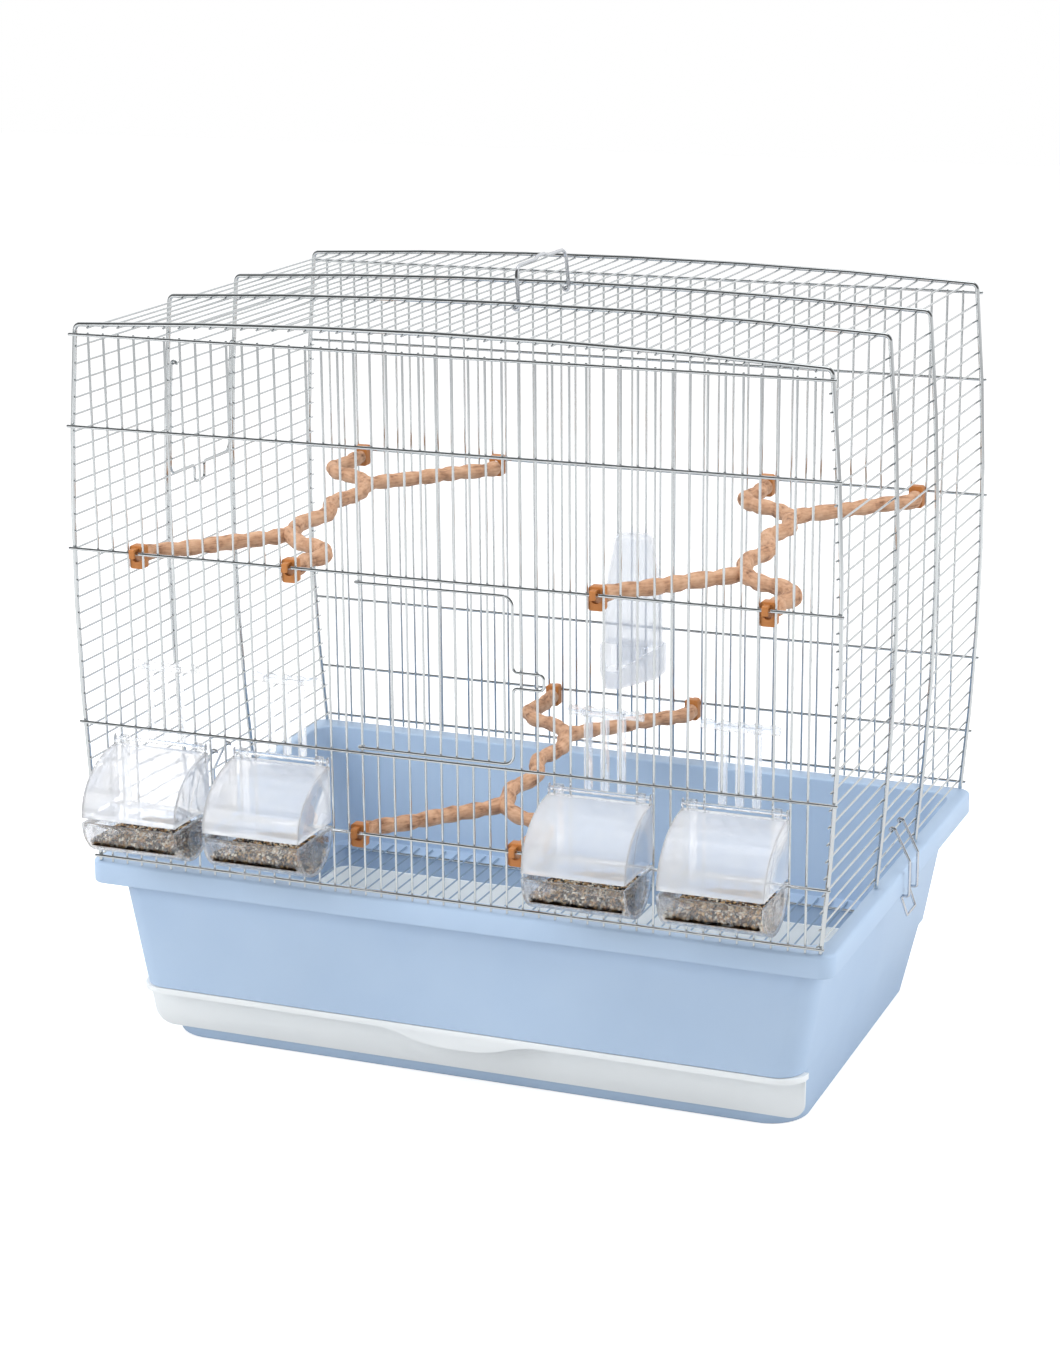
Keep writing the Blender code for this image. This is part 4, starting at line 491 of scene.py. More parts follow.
def grow_end(bm, end, inner):
    """Extrudes an end face and takes out the face it leaves inside."""
    grown = bmesh.ops.extrude_face_region(bm, geom=[end])["geom"]
    if inner:
        bmesh.ops.delete(bm, geom=[end], context="FACES_ONLY")
    return of_kind(grown, bmesh.types.BMVert), of_kind(grown, bmesh.types.BMFace)[0]


def sweep(bm, path, radii, sides=ROUND_SIDES):
    """Pulls a round end along a path. It faces each bend and takes each radius in turn."""
    path = [Vector(point) for point in path]
    runs = [(b - a).normalized() for a, b in zip(path, path[1:])]
    facings = [runs[0]] + [(a + b).normalized() for a, b in zip(runs, runs[1:])] + [runs[-1]]
    place = Matrix.Translation(path[0]) @ facings[0].to_track_quat("Z", "Y").to_matrix().to_4x4()
    ring = bmesh.ops.create_circle(bm, cap_ends=True, segments=sides, radius=radii[0], matrix=place)["verts"]
    end = ring[0].link_faces[0]
    rings = [ring]
    for i in range(1, len(path)):
        ring, end = grow_end(bm, end, i > 1)
        bmesh.ops.translate(bm, verts=ring, vec=path[i] - path[i - 1])
        bend = facings[i - 1].rotation_difference(facings[i]).to_matrix()
        bmesh.ops.rotate(bm, verts=ring, cent=path[i], matrix=bend)
        if radii[i] != radii[i - 1]:
            share = radii[i] / radii[i - 1]
            bmesh.ops.scale(bm, verts=ring, vec=(share, share, share), space=Matrix.Translation(-path[i]))
        rings.append(ring)
    return rings


def draw_wire(bm, path, radius, sides=ROUND_SIDES):
    """Draws a round wire with eased ends. A ring close to each end keeps the long faces' shading straight."""
    path = [Vector(point) for point in path]

    def ease(end, towards):
        run = towards - end
        step = run.normalized() * radius * WIRE_EASE_SHARE
        return [end, end + step, end + step * 4] if run.length > 5 * radius else [end, end + step]

    path = ease(path[0], path[1]) + path[1:-1] + ease(path[-1], path[-2])[::-1]
    end_radius = radius * WIRE_END_SHARE
    radii = [end_radius] + [radius] * (len(path) - 2) + [end_radius]
    sweep(bm, path, radii, sides)


def join(bm, part):
    """Moves a finished bmesh into another."""
    mesh = new_mesh("part", part)
    bm.from_mesh(mesh)
    bpy.data.meshes.remove(mesh)


def wire_piece(name, wires, nodes, body="cage", material=PLATED_WIRE):
    """Draws wires, each a path with its radius, into one piece."""
    bm = bmesh.new()
    for path, radius in wires:
        wire = bmesh.new()
        draw_wire(wire, path, radius)
        join(bm, wire)
    return add_piece(name, bm, material, body, nodes, smooth=50)


def rounded_path(points, radius, steps=8):
    """Replaces each inner corner of a path by an arc."""
    points = [Vector(point) for point in points]
    path = [points[0]]
    for before, corner, after in zip(points, points[1:], points[2:]):
        u = (before - corner).normalized()
        v = (after - corner).normalized()
        half = u.angle(v) / 2
        reach = min(radius * cos(half) / sin(half), 0.48 * (before - corner).length,
                    0.48 * (after - corner).length)
        bend = reach * sin(half) / cos(half)
        middle = corner + (u + v).normalized() * (bend / sin(half))
        for step in range(steps + 1):
            chord = (corner + u * reach).lerp(corner + v * reach, step / steps) - middle
            path.append(middle + chord.normalized() * bend)
    path.append(points[-1])
    return path


def hook_path(centre, radius, start, turn, across, along, steps=14):
    """Points of an eye bent round a wire, in the plane of two directions."""
    return [Vector(centre) + across * (radius * cos(start + turn * i / steps))
            + along * (radius * sin(start + turn * i / steps)) for i in range(steps + 1)]


# Lines of the hoops, as in the solids

def side_arc_x(z):
    return SIDE_BULGE_X - (z - SIDE_BULGE_Z) ** 2 / (2 * SIDE_ARC_RADIUS)


def roof_arc_z(x):
    return ROOF_TOP_Z - x ** 2 / (2 * ROOF_ARC_RADIUS)


def spread(low, high, count):
    return [low + (high - low) * i / count for i in range(count + 1)]


def between(knots, value):
    """Reads a line through (value, result) knots."""
    for (a, fa), (b, fb) in zip(knots, knots[1:]):
        if value <= b or (b, fb) == knots[-1]:
            return fa + (fb - fa) * (value - a) / (b - a)


ROOF_CORNER_Z = roof_arc_z(side_arc_x(ROOF_SPLIT_Z))
ROOF_CORNER_X = side_arc_x(ROOF_CORNER_Z)
ROOF_ARC_X = ROOF_CORNER_X - ROOF_CORNER_RADIUS
SIDE_KNOTS = [(z, side_arc_x(z)) for z in spread(CAGE_LOW_Z, ROOF_SPLIT_Z, 6)]
ROOF_KNOTS = [(x, roof_arc_z(x)) for x in spread(-ROOF_ARC_X, ROOF_ARC_X, 6)]
THIN_SEAT = HOOP_RADIUS + THIN_RADIUS + FIT_GAP


def side_x(z):
    return between(SIDE_KNOTS, z)


def roof_z(x):
    return between(ROOF_KNOTS, x)


def side_wire_z(level):
    return SIDE_FIRST_Z + SIDE_PITCH * level


# Wire panels

def hoop_path(y):
    """One hoop from its right foot over the roof to its left foot."""
    rise = [Vector((x - HOOP_SINK, y, z)) for z, x in SIDE_KNOTS[:-1]]
    corner = Vector((ROOF_CORNER_X - HOOP_SINK, y, ROOF_CORNER_Z - HOOP_SINK))
    roof = [Vector((x, y, z - HOOP_SINK)) for x, z in reversed(ROOF_KNOTS)]
    right = rise[:-1] + rounded_path([rise[-1], corner, roof[0]], ROOF_CORNER_RADIUS)[:-1]
    left = [Vector((-point.x, y, point.z)) for point in reversed(right)]
    return right + roof[1:-1] + left


def make_hoops():
    hoops = [(hoop_path(y), HOOP_RADIUS) for y in HOOP_PLACES]
    wire_piece("cage_hoops", hoops, ("left_grille", "right_grille", "roof_grille"))


def rails(face):
    made = []
    for z in RAIL_LEVELS:
        reach = side_x(min(z, ROOF_SPLIT_Z)) + RAIL_PAST_HOOP
        made.append((((-reach, face * RAIL_Y, z), (reach, face * RAIL_Y, z)), RAIL_RADIUS))
    return made


def make_front_wires():
    feeding = {k + step for k in FEEDER_WIRES for step in (-1, 0, 1)}
    wires = []
    for k in PANEL_WIRES:
        spans = [(CAGE_LOW_Z, WIRE_TOP_Z)]
        if abs(k) <= DOOR_WIRES_EACH_SIDE:
            spans = [(CAGE_LOW_Z, RAIL_FEEDER_Z + CUT_WIRE_SHORT),
                     (RAIL_PERCH_Z - CUT_WIRE_SHORT, WIRE_TOP_Z)]
        if k in feeding:
            spans = [(CAGE_LOW_Z, RAIL_LOW_Z + CUT_WIRE_SHORT), (RAIL_FEEDER_Z - CUT_WIRE_SHORT, WIRE_TOP_Z)]
        x = k * WIRE_PITCH
        wires += [(((x, -WIRE_Y, low), (x, -WIRE_Y, high)), WIRE_RADIUS) for low, high in spans]
    wire_piece("front_wires", wires + rails(-1), ("front_grille",))


def make_back_wires():
    wires = [(((k * WIRE_PITCH, WIRE_Y, CAGE_LOW_Z), (k * WIRE_PITCH, WIRE_Y, WIRE_TOP_Z)), WIRE_RADIUS)
             for k in PANEL_WIRES]
    wire_piece("back_wires", wires + rails(1), ("back_grille",))


def make_side_wires(name, side, node):
    past = HOOP_RADIUS + CUT_WIRE_SHORT
    wires = []
    for level in range(SIDE_WIRES):
        z = side_wire_z(level)
        x = side * (side_x(z) - THIN_SEAT)
        spans = [(-HOOP_END_Y - past, HOOP_END_Y + past)]
        if side < 0 and SIDE_DOOR_LEVELS[0] < level < SIDE_DOOR_LEVELS[1]:
            spans = [(-HOOP_END_Y - past, -HOOP_MID_Y + past), (HOOP_MID_Y - past, HOOP_END_Y + past)]
        wires += [(((x, low, z), (x, high, z)), THIN_RADIUS) for low, high in spans]
    wire_piece(name, wires, (node,))


def make_roof_wires():
    past = HOOP_END_Y + HOOP_RADIUS + CUT_WIRE_SHORT
    wires = []
    for k in PANEL_WIRES:
        x = k * WIRE_PITCH
        z = roof_z(x) - THIN_SEAT
        wires.append((((x, -past, z), (x, past, z)), THIN_RADIUS))
    wire_piece("roof_wires", wires, ("roof_grille",))


def make_floor_wires():
    wire_z = LEDGE_Z + WALL + FIT_GAP + THIN_RADIUS
    cross_z = wire_z - THIN_RADIUS - RAIL_RADIUS + WELD_SINK
    cross_y = WELL_TOP[1] - WALL - RAIL_RADIUS - CUT_WIRE_SHORT
    end = (WELL_TOP[1] + BODY_LOW[1]) / 2
    reach = (FLOOR_WIRES_EACH_SIDE + 1 / 4) * WIRE_PITCH
    wires = [(((-reach, y, cross_z), (reach, y, cross_z)), RAIL_RADIUS) for y in (-cross_y, cross_y)]
    for k in range(-FLOOR_WIRES_EACH_SIDE, FLOOR_WIRES_EACH_SIDE + 1):
        x = k * WIRE_PITCH
        wires.append((((x, -end, wire_z), (x, end, wire_z)), THIN_RADIUS))
    wire_piece("floor_wires", wires, ("floor_grille",))


def make_front_door():
    hinge_x = DOOR_HINGE_WIRE * WIRE_PITCH
    eye = WIRE_RADIUS + FIT_GAP + DOOR_RADIUS
    y = -WIRE_Y - eye
    upper = hook_path((hinge_x, -WIRE_Y, DOOR_TOP_Z), eye, -pi / 2 - HOOK_TURN, HOOK_TURN, X_AXIS, Y_AXIS)
    lower = hook_path((hinge_x, -WIRE_Y, DOOR_LOW_Z), eye, -pi / 2 - HOOK_TURN, HOOK_TURN, X_AXIS, Y_AXIS)
    high = (DOOR_RIGHT_X, y, (DOOR_TOP_Z + TONGUE_TOP_Z) / 2)
    low = (DOOR_RIGHT_X, y, (DOOR_LOW_Z + TONGUE_LOW_Z) / 2)
    head = rounded_path([upper[-1], (DOOR_RIGHT_X, y, DOOR_TOP_Z), high], DOOR_CORNER)[1:-1]
    tongue = rounded_path([high, (DOOR_RIGHT_X, y, TONGUE_TOP_Z), (TONGUE_X, y, TONGUE_TOP_Z),
                           (TONGUE_X, y, TONGUE_LOW_Z), (DOOR_RIGHT_X, y, TONGUE_LOW_Z), low],
                          BEND_RADIUS)[1:-1]
    foot = rounded_path([low, (DOOR_RIGHT_X, y, DOOR_LOW_Z), lower[-1]], DOOR_CORNER)[1:-1]
    wires = [(upper + head + tongue + foot + lower[::-1], DOOR_RADIUS)]
    inner_y = y + WIRE_RADIUS + DOOR_RADIUS - WELD_SINK
    foot_z, head_z = DOOR_LOW_Z - DOOR_RADIUS / 2, DOOR_TOP_Z + DOOR_RADIUS / 2
    for k in range(-DOOR_WIRES_EACH_SIDE, DOOR_WIRES_EACH_SIDE + 1):
        x = k * WIRE_PITCH
        wires.append((((x, inner_y, foot_z), (x, inner_y, head_z)), WIRE_RADIUS))
    wire_piece("front_door_wires", wires, ("front_door",), "front_door")


def make_side_door():
    hinge_z = side_wire_z(SIDE_DOOR_LEVELS[1])
    hinge_x = -(side_x(hinge_z) - THIN_SEAT)
    eye = THIN_RADIUS + FIT_GAP + DOOR_RADIUS
    levels = [side_wire_z(level) for level in range(SIDE_DOOR_LEVELS[1] - 1, SIDE_DOOR_LEVELS[0], -1)]
    low = side_wire_z(SIDE_DOOR_LEVELS[0])
    tip = side_wire_z(SIDE_DOOR_LEVELS[0] - 1) - SIDE_TONGUE_PAST_WIRE

    def spot(y, z):
        return Vector((-(side_x(z) - THIN_SEAT + eye), y, z))

    def leg(y):
        hook = hook_path((hinge_x, y, hinge_z), eye, HOOK_TURN, -HOOK_TURN, -X_AXIS, Z_AXIS)
        return hook + [spot(y, z) for z in levels[:-1]]

    front, back = -SIDE_DOOR_HALF_WIDTH, SIDE_DOOR_HALF_WIDTH
    near, far = SIDE_TONGUE_Y - SIDE_TONGUE_HALF_WIDTH, SIDE_TONGUE_Y + SIDE_TONGUE_HALF_WIDTH
    turn_in = rounded_path([spot(front, levels[-2]), spot(front, low), spot(near, low)], DOOR_CORNER)[1:-1]
    tongue = rounded_path([spot((front + near) / 2, low), spot(near, low), spot(near, tip), spot(far, tip),
                           spot(far, low), spot((back + far) / 2, low)], BEND_RADIUS)[1:-1]
    turn_out = rounded_path([spot(far, low), spot(back, low), spot(back, levels[-2])], DOOR_CORNER)[1:-1]
    wires = [(leg(front) + turn_in + tongue + turn_out + leg(back)[::-1], DOOR_RADIUS)]
    for z in levels:
        x = spot(0.0, z).x + THIN_RADIUS + DOOR_RADIUS - WELD_SINK
        wires.append((((x, front - DOOR_RADIUS / 2, z), (x, back + DOOR_RADIUS / 2, z)), THIN_RADIUS))
    wire_piece("side_door_wires", wires, ("side_door",), "side_door")


def make_handle():
    hinge_z = roof_z(0.0) - THIN_SEAT
    eye = THIN_RADIUS + FIT_GAP + HANDLE_RADIUS
    top = hinge_z + HANDLE_RISE

    def leg(end):
        y = end * HANDLE_HALF_LENGTH
        hook = hook_path((0.0, y, hinge_z), eye, -HOOK_TURN, HOOK_TURN, X_AXIS, Z_AXIS)
        rise = rounded_path([hook[-1], (0.0, y, top), (0.0, 2 * end * HANDLE_KINK_HALF, top)], HANDLE_CORNER)
        return hook + rise[1:] + [Vector((0.0, end * HANDLE_KINK_HALF, top + HANDLE_KINK))]

    wires = [(leg(-1) + leg(1)[::-1], HANDLE_RADIUS)]
    wire_piece("handle_wire", wires, ("roof_handle",), "handle", ZINC_WIRE)


def make_latch(body, side):
    hinge_z = side_wire_z(LATCH_LEVEL)
    hinge_x = side_x(hinge_z) - THIN_SEAT
    eye = THIN_RADIUS + FIT_GAP + LATCH_RADIUS

    def leg(y):
        hook = hook_path((hinge_x, y, hinge_z), eye, HOOK_TURN, -HOOK_TURN, X_AXIS, Z_AXIS)
        bends = rounded_path([hook[-1], (LATCH_BULGE_X, y, LATCH_BULGE_Z),
                              (LATCH_BULGE_X, y, LATCH_UNDER_Z), (LATCH_UNDER_X, y, LATCH_UNDER_Z),
                              (LATCH_TAB_X, y, LATCH_TAB_Z)], LATCH_BEND)
        return hook + bends[1:]

    path = leg(-LATCH_HALF_WIDTH) + leg(LATCH_HALF_WIDTH)[::-1]
    wires = [([(side * point.x, point.y, point.z) for point in path], LATCH_RADIUS)]
    wire_piece(body + "_wire", wires, (body,), body, ZINC_WIRE)


# Moulded base and drawer

def moulding(rings, middle_y=0.0, steps=10):
    """Grows a closed moulding. Each ring is a rounded rectangle with its height and edge radius."""
    bm = bmesh.new()
    half_step = pi / (4 * steps)
    bmesh.ops.create_circle(bm, cap_ends=True, segments=4 * steps, radius=1.0 / cos(half_step),
                            matrix=Matrix.Rotation(half_step, 4, "Z"))
    end = next(iter(bm.faces))
    unit = [vert.co.copy() for vert in end.verts]
    loops = []
    for number, (half_x, half_y, corner, z, _) in enumerate(rings):
        if number:
            end = grow_end(bm, end, number > 1)[1]
        for vert, spot in zip(end.verts, unit):
            vert.co = (spot.x * corner + (half_x - corner) * (1 if spot.x > 0 else -1),
                       spot.y * corner + (half_y - corner) * (1 if spot.y > 0 else -1) + middle_y, z)
        loops.append(end.edges[:])
    for edge in sorted({ring[4] for ring in rings} - {0.0}):
        chosen = [line for loop, ring in zip(loops, rings) if ring[4] == edge for line in loop]
        bevel(bm, chosen, edge, 3)
    return bm


def lean(low, high, z, low_z, high_z):
    """The ring at a height between two others."""
    return [a + (b - a) * (z - low_z) / (high_z - low_z) for a, b in zip(low, high)]


def inset(ring, wall=WALL):
    return [size - wall for size in ring]


def well_ring(z):
    return lean(FOOT, WELL_TOP, z, 0.0, LEDGE_Z)


def add_block(bm, low, high, edge=0.0):
    """A box from one corner to the far one, its edges rounded."""
    low, high = Vector(low), Vector(high)
    place = Matrix.Translation((low + high) / 2) @ Matrix.Diagonal((*(high - low), 1.0))
    made = bmesh.ops.create_cube(bm, size=1.0, matrix=place)["verts"]
    if edge:
        bevel(bm, list({line for vert in made for line in vert.link_edges}), edge, 2)


def make_base():
    under_z = RIM_TOP_Z - WALL
    floor_z = LEDGE_Z + WALL
    bm = moulding([
        (*FOOT, 0.0, 0.0015),
        (*WELL_TOP, LEDGE_Z, 0.0),
        (*BODY_LOW, LEDGE_Z, 0.0),
        (*lean(BODY_LOW, BODY_TOP, under_z, LEDGE_Z, RIM_TOP_Z), under_z, 0.0),
        (*inset(RIM), under_z, 0.0),
        (*inset(RIM), LIP_LOW_Z, 0.0008),
        (*RIM, LIP_LOW_Z, 0.0008),
        (*RIM, RIM_TOP_Z, 0.0024),
        (*inset(BODY_TOP), RIM_TOP_Z, 0.0015),
        (*inset(BODY_LOW), floor_z, 0.0008),
        (*inset(WELL_TOP), floor_z, 0.0),
        (*inset(well_ring(BASE_FLOOR)), BASE_FLOOR, 0.002),
    ])
    base = add_piece("base_moulding", bm, BLUE_PLASTIC, "cage", ("base_tub",))
    bm = bmesh.new()
    reach = TRAY_HALF_WIDTH + FIT_GAP
    add_block(bm, (-reach, -WELL_TOP[1] - OPENING_PAST, TRAY_LOW_Z - FIT_GAP),
              (reach, FOOT[2] - FOOT[1], TRAY_LOW_Z + TRAY_HEIGHT + FIT_GAP))
    carve(base, bm)
    bm = bmesh.new()
    for side in (-1, 1):
        end = FOOT[1] - WALL
        add_block(bm, (side * RUNNER_X - RUNNER_WIDTH / 2, -end, BASE_FLOOR - RUNNER_SINK),
                  (side * RUNNER_X + RUNNER_WIDTH / 2, end, RUNNER_TOP_Z), 0.0008)
    add_piece("base_runners", bm, BLUE_PLASTIC, "cage", ())


def plate(outline, along, corners=(), edge=0.0, steps=8):
    """Fills an outline, rounds some of its corners, pulls it along a vector and rounds its edges."""
    bm = bmesh.new()
    verts = [bm.verts.new(point) for point in outline]
    bm.faces.new(verts)
    for number, radius in corners:
        bevel(bm, [verts[number]], radius, steps, "VERTICES")
    grown = bmesh.ops.extrude_face_region(bm, geom=list(bm.faces))["geom"]
    bmesh.ops.translate(bm, verts=of_kind(grown, bmesh.types.BMVert), vec=along)
    bmesh.ops.recalc_face_normals(bm, faces=bm.faces)
    if edge:
        bevel(bm, list(bm.edges), edge, 2, clamp=True)
    return bm


def make_drawer():
    front = -well_ring(TRAY_LOW_Z)[1] - FIT_GAP - FACE_WALL / 2
    half_y = (TRAY_BACK_Y - front) / 2
    middle = (TRAY_BACK_Y + front) / 2
    top = TRAY_LOW_Z + TRAY_HEIGHT
    bm = moulding([
        (TRAY_HALF_WIDTH - TRAY_DRAFT, half_y - TRAY_DRAFT, TRAY_CORNER, TRAY_LOW_Z, 0.0012),
        (TRAY_HALF_WIDTH, half_y, TRAY_CORNER, top, 0.0006),
        (TRAY_HALF_WIDTH - TRAY_WALL, half_y - TRAY_WALL, TRAY_CORNER - TRAY_WALL, top, 0.0006),
        (TRAY_HALF_WIDTH - TRAY_WALL - TRAY_DRAFT, half_y - TRAY_WALL - TRAY_DRAFT, TRAY_CORNER - TRAY_WALL,
         TRAY_LOW_Z + TRAY_WALL, 0.0012)], middle)
    for vert in bm.verts:
        if vert.co.y < 0.0:
            vert.co.y -= well_ring(vert.co.z)[1] - well_ring(TRAY_LOW_Z)[1]
    top_x, low_x = FACE_TOP_HALF_WIDTH, FACE_LOW_HALF_WIDTH
    outline = [(-top_x, FACE_TOP_Z), (-low_x, TRAY_LOW_Z), (low_x, TRAY_LOW_Z), (top_x, FACE_TOP_Z)]
    face = plate([(x, 0.0, z) for x, z in outline], (0.0, -FACE_WALL, 0.0),
                 ((1, FACE_CORNER), (2, FACE_CORNER)), 0.0007)
    for vert in face.verts:
        vert.co.y -= well_ring(vert.co.z)[1] + FIT_GAP
    join(bm, face)
    back = -WELL_TOP[1] - FIT_GAP
    end = FLANGE_HALF_WIDTH
    flange = [(end, back), (end, -FLANGE_FRONT_Y), (-end, -FLANGE_FRONT_Y), (-end, back)]
    join(bm, plate([(x, y, FLANGE_LOW_Z) for x, y in flange], (0.0, 0.0, FLANGE_TOP_Z - FLANGE_LOW_Z),
                   ((1, FLANGE_CORNER), (2, FLANGE_CORNER)), 0.0008, 12))
    wide = PULL_HALF_WIDTH + PULL_SWEEP
    low = FLANGE_LOW_Z - PULL_DROP
    high = FLANGE_LOW_Z + PULL_STRIP_HEIGHT
    top = high + PULL_STRIP_HEIGHT
    strip, ramp = wide + PULL_STRIP, wide - PULL_RAMP
    outline = [(-strip, top), (-strip, high), (-ramp, high), (-PULL_HALF_WIDTH, low),
               (PULL_HALF_WIDTH, low), (ramp, high), (strip, high), (strip, top)]
    join(bm, plate([(x, -FLANGE_FRONT_Y + 0.0002, z) for x, z in outline], (0.0, PULL_WALL, 0.0),
                   PULL_BENDS, 0.0004, 12))
    add_piece("drawer_moulding", bm, WHITE_PLASTIC, "drawer", ("drawer_tray",), clean=False)


# Feeders, seed and combs

def arch(x, half, start, centre, angle, steps):
    """A level line as long as a feeder, spun about the feeder's long direction."""
    bm = bmesh.new()
    ends = [bm.verts.new((x + side * half, *start)) for side in (-1, 1)]
    bmesh.ops.spin(bm, geom=ends + [bm.edges.new(ends)], cent=(x, *centre), axis=(1.0, 0.0, 0.0),
                   angle=angle, steps=steps)
    return bm


def pin(place, axis, radius, depth, sides):
    """A round plug about a level axis."""
    bm = bmesh.new()
    bmesh.ops.create_cone(bm, cap_ends=True, segments=sides, radius1=radius, radius2=radius, depth=depth,
                          matrix=Matrix.Translation(place) @ Matrix.Rotation(pi / 2, 4, axis))
    return bm


def close_ends(bm, corner=None):
    """Closes the left and right side of an arch with flat plates, which may reach to a corner."""
    for pick in (min, max):
        at = pick(vert.co.x for vert in bm.verts)
        side = [edge for edge in bm.edges if all(abs(vert.co.x - at) < 0.00001 for vert in edge.verts)]
        tips = [vert for edge in side for vert in edge.verts if sum(vert in line.verts for line in side) == 1]
        if corner:
            tips.insert(1, bm.verts.new((at, *corner)))
        side += [bm.edges.new(pair) for pair in zip(tips, tips[1:])]
        bmesh.ops.contextual_create(bm, geom=side)
    bmesh.ops.recalc_face_normals(bm, faces=bm.faces)


def half_round(x, radius, half, steps=24):
    """Half a drum, open above."""
    bm = arch(x, half, (FEEDER_CENTRE_Y + radius, FEEDER_RIM_Z), (FEEDER_CENTRE_Y, FEEDER_RIM_Z), -pi, steps)
    close_ends(bm)
    return bm


def rail_hook(root, tip, over, low, wall):
    """Outline of a hook from its root over a rail and down behind it."""
    beyond = tip + wall
    return [(root, over), (tip, over), (tip, low), (beyond, low), (beyond, over + wall), (root, over + wall)]


def eye_plate(width, x, front_y, back_y, low_z):
    """An upright plate that ends in a round eye on the hood's hinge line."""
    turns = spread(0.0, radians(230), 10)
    eye = [(x, HOOD_BAR_Y + HOOD_LUG_RADIUS * cos(t), HOOD_BAR_Z + HOOD_LUG_RADIUS * sin(t)) for t in turns]
    outline = [(x, back_y, low_z)] + [(x, min(y, back_y), z) for _, y, z in eye]
    outline += [(x, front_y, HOOD_BAR_Z - HOOD_LUG_RADIUS), (x, front_y, low_z)]
    return plate(outline, (width, 0.0, 0.0), (), FINE_EDGE)


def make_feeder_tray(number, x):
    bm = half_round(x, FEEDER_RADIUS, FEEDER_HALF)
    tray = add_piece("feeder_bucket_%d" % number, bm, CLEAR_PLASTIC, "cage", ("feeder_tray_%d" % number,))
    give_wall(tray, FEEDER_WALL, 0.0005)

    bm = bmesh.new()
    over = RAIL_LOW_Z + RAIL_RADIUS + FIT_GAP
    hook = rail_hook(FEEDER_BACK_Y - 0.0004, HOOK_BACK_Y, over, over - HOOK_DROP, HOOK_WALL)
    for side in (-1, 1):
        outer = x + side * (FEEDER_HALF - FEEDER_WALL - ARM_INSET)
        join(bm, eye_plate(-side * ARM_WIDTH, outer, FEEDER_BACK_Y - ARM_WALL, FEEDER_BACK_Y,
                           FEEDER_RIM_Z - ARM_ROOT))
        middle = x + side * WIRE_PITCH * 3 / 2 - HOOK_WIDTH / 2
        join(bm, plate([(middle, y, z) for y, z in hook], (HOOK_WIDTH, 0.0, 0.0), (), FINE_EDGE))
        boss = (x + side * (FEEDER_HALF + BOSS_HEIGHT / 2), FEEDER_CENTRE_Y, FEEDER_RIM_Z - BOSS_DROP)
        join(bm, pin(boss, "Y", BOSS_RADIUS, BOSS_HEIGHT, 32))
    add_piece("feeder_arms_%d" % number, bm, THIN_PLASTIC, "cage", (), clean=False)


def make_feeder_hood(number, x):
    body = "hood_%d" % number
    wide = HOOD_BACK_Y - (FEEDER_CENTRE_Y - FEEDER_RADIUS)
    tall = HOOD_TOP_Z - HOOD_LOW_Z
    bm = arch(x, FEEDER_HALF, (HOOD_BACK_Y, HOOD_LOW_Z + tall), (HOOD_BACK_Y, HOOD_LOW_Z), pi / 2, 14)
    for vert in bm.verts:
        vert.co.y = HOOD_BACK_Y - (HOOD_BACK_Y - vert.co.y) * wide / tall
    close_ends(bm, (HOOD_BACK_Y, HOOD_LOW_Z))
    hood = add_piece("feeder_hood_shell_%d" % number, bm, HOOD_PLASTIC, body, ("feeder_hood_%d" % number,))
    give_wall(hood, FEEDER_WALL, 0.0005)
    bm = bmesh.new()
    for side in (-1, 1):
        outer = x + side * (FEEDER_HALF - EYE_INSET)
        join(bm, eye_plate(-side * (FEEDER_WALL - 2 * EYE_INSET), outer, HOOD_BAR_Y - HOOD_LUG_RADIUS,
                           HOOD_BACK_Y - 0.0002, HOOD_TOP_Z - 2 * HOOD_LUG_RADIUS))
    reach = FEEDER_HALF - FEEDER_WALL / 2
    bar = [(x + side * reach, HOOD_BAR_Y, HOOD_BAR_Z) for side in (-1, 1)]
    draw_wire(bm, bar, HOOD_BAR_RADIUS, 16)
    add_piece("feeder_hood_bar_%d" % number, bm, CLEAR_PLASTIC, body, (), clean=False)


def add_grain(bm, tone_layer, place, normal, dice):
    """One seed: a small drop of twenty faces that lies against a surface."""
    length = dice.uniform(*GRAIN_HALF_LENGTH)
    width = dice.uniform(*GRAIN_HALF_WIDTH)
    lie = normal.to_track_quat("Z", "Y").to_matrix().to_4x4() @ Matrix.Rotation(dice.uniform(0, pi), 4, "Z")
    tip = Matrix.Rotation(dice.uniform(-0.5, 0.5), 4, "Y")
    size = Matrix.Diagonal((length, width, width * 0.9, 1.0))
    made = bmesh.ops.create_icosphere(bm, subdivisions=1, radius=1.0,
                                      matrix=Matrix.Translation(place) @ lie @ tip @ size)["verts"]
    tone = dice.random()
    for vert in made:
        vert[tone_layer] = tone


def seed_height(along, across, half):
    """Level of the seed: heaped to the right and sunk towards the left end."""
    share = (along + half) / (2 * half)
    ripple = SEED_RIPPLE * noise.noise(Vector((along, across, 0.0)) * 130)
    return SEED_TOP_Z - SEED_HEAP_DROP - SEED_SUNK_END * (1 - share) ** 3 + ripple


def scatter(bm, count, dice, pick):
    """Adds grains at picked places, a handful at a time."""
    for _ in range(count // HANDFUL):
        handful = bmesh.new()
        tone = handful.verts.layers.float.new("tone")
        for _ in range(HANDFUL):
            spot, out = pick()
            if spot:
                add_grain(handful, tone, spot, out, dice)
        join(bm, handful)


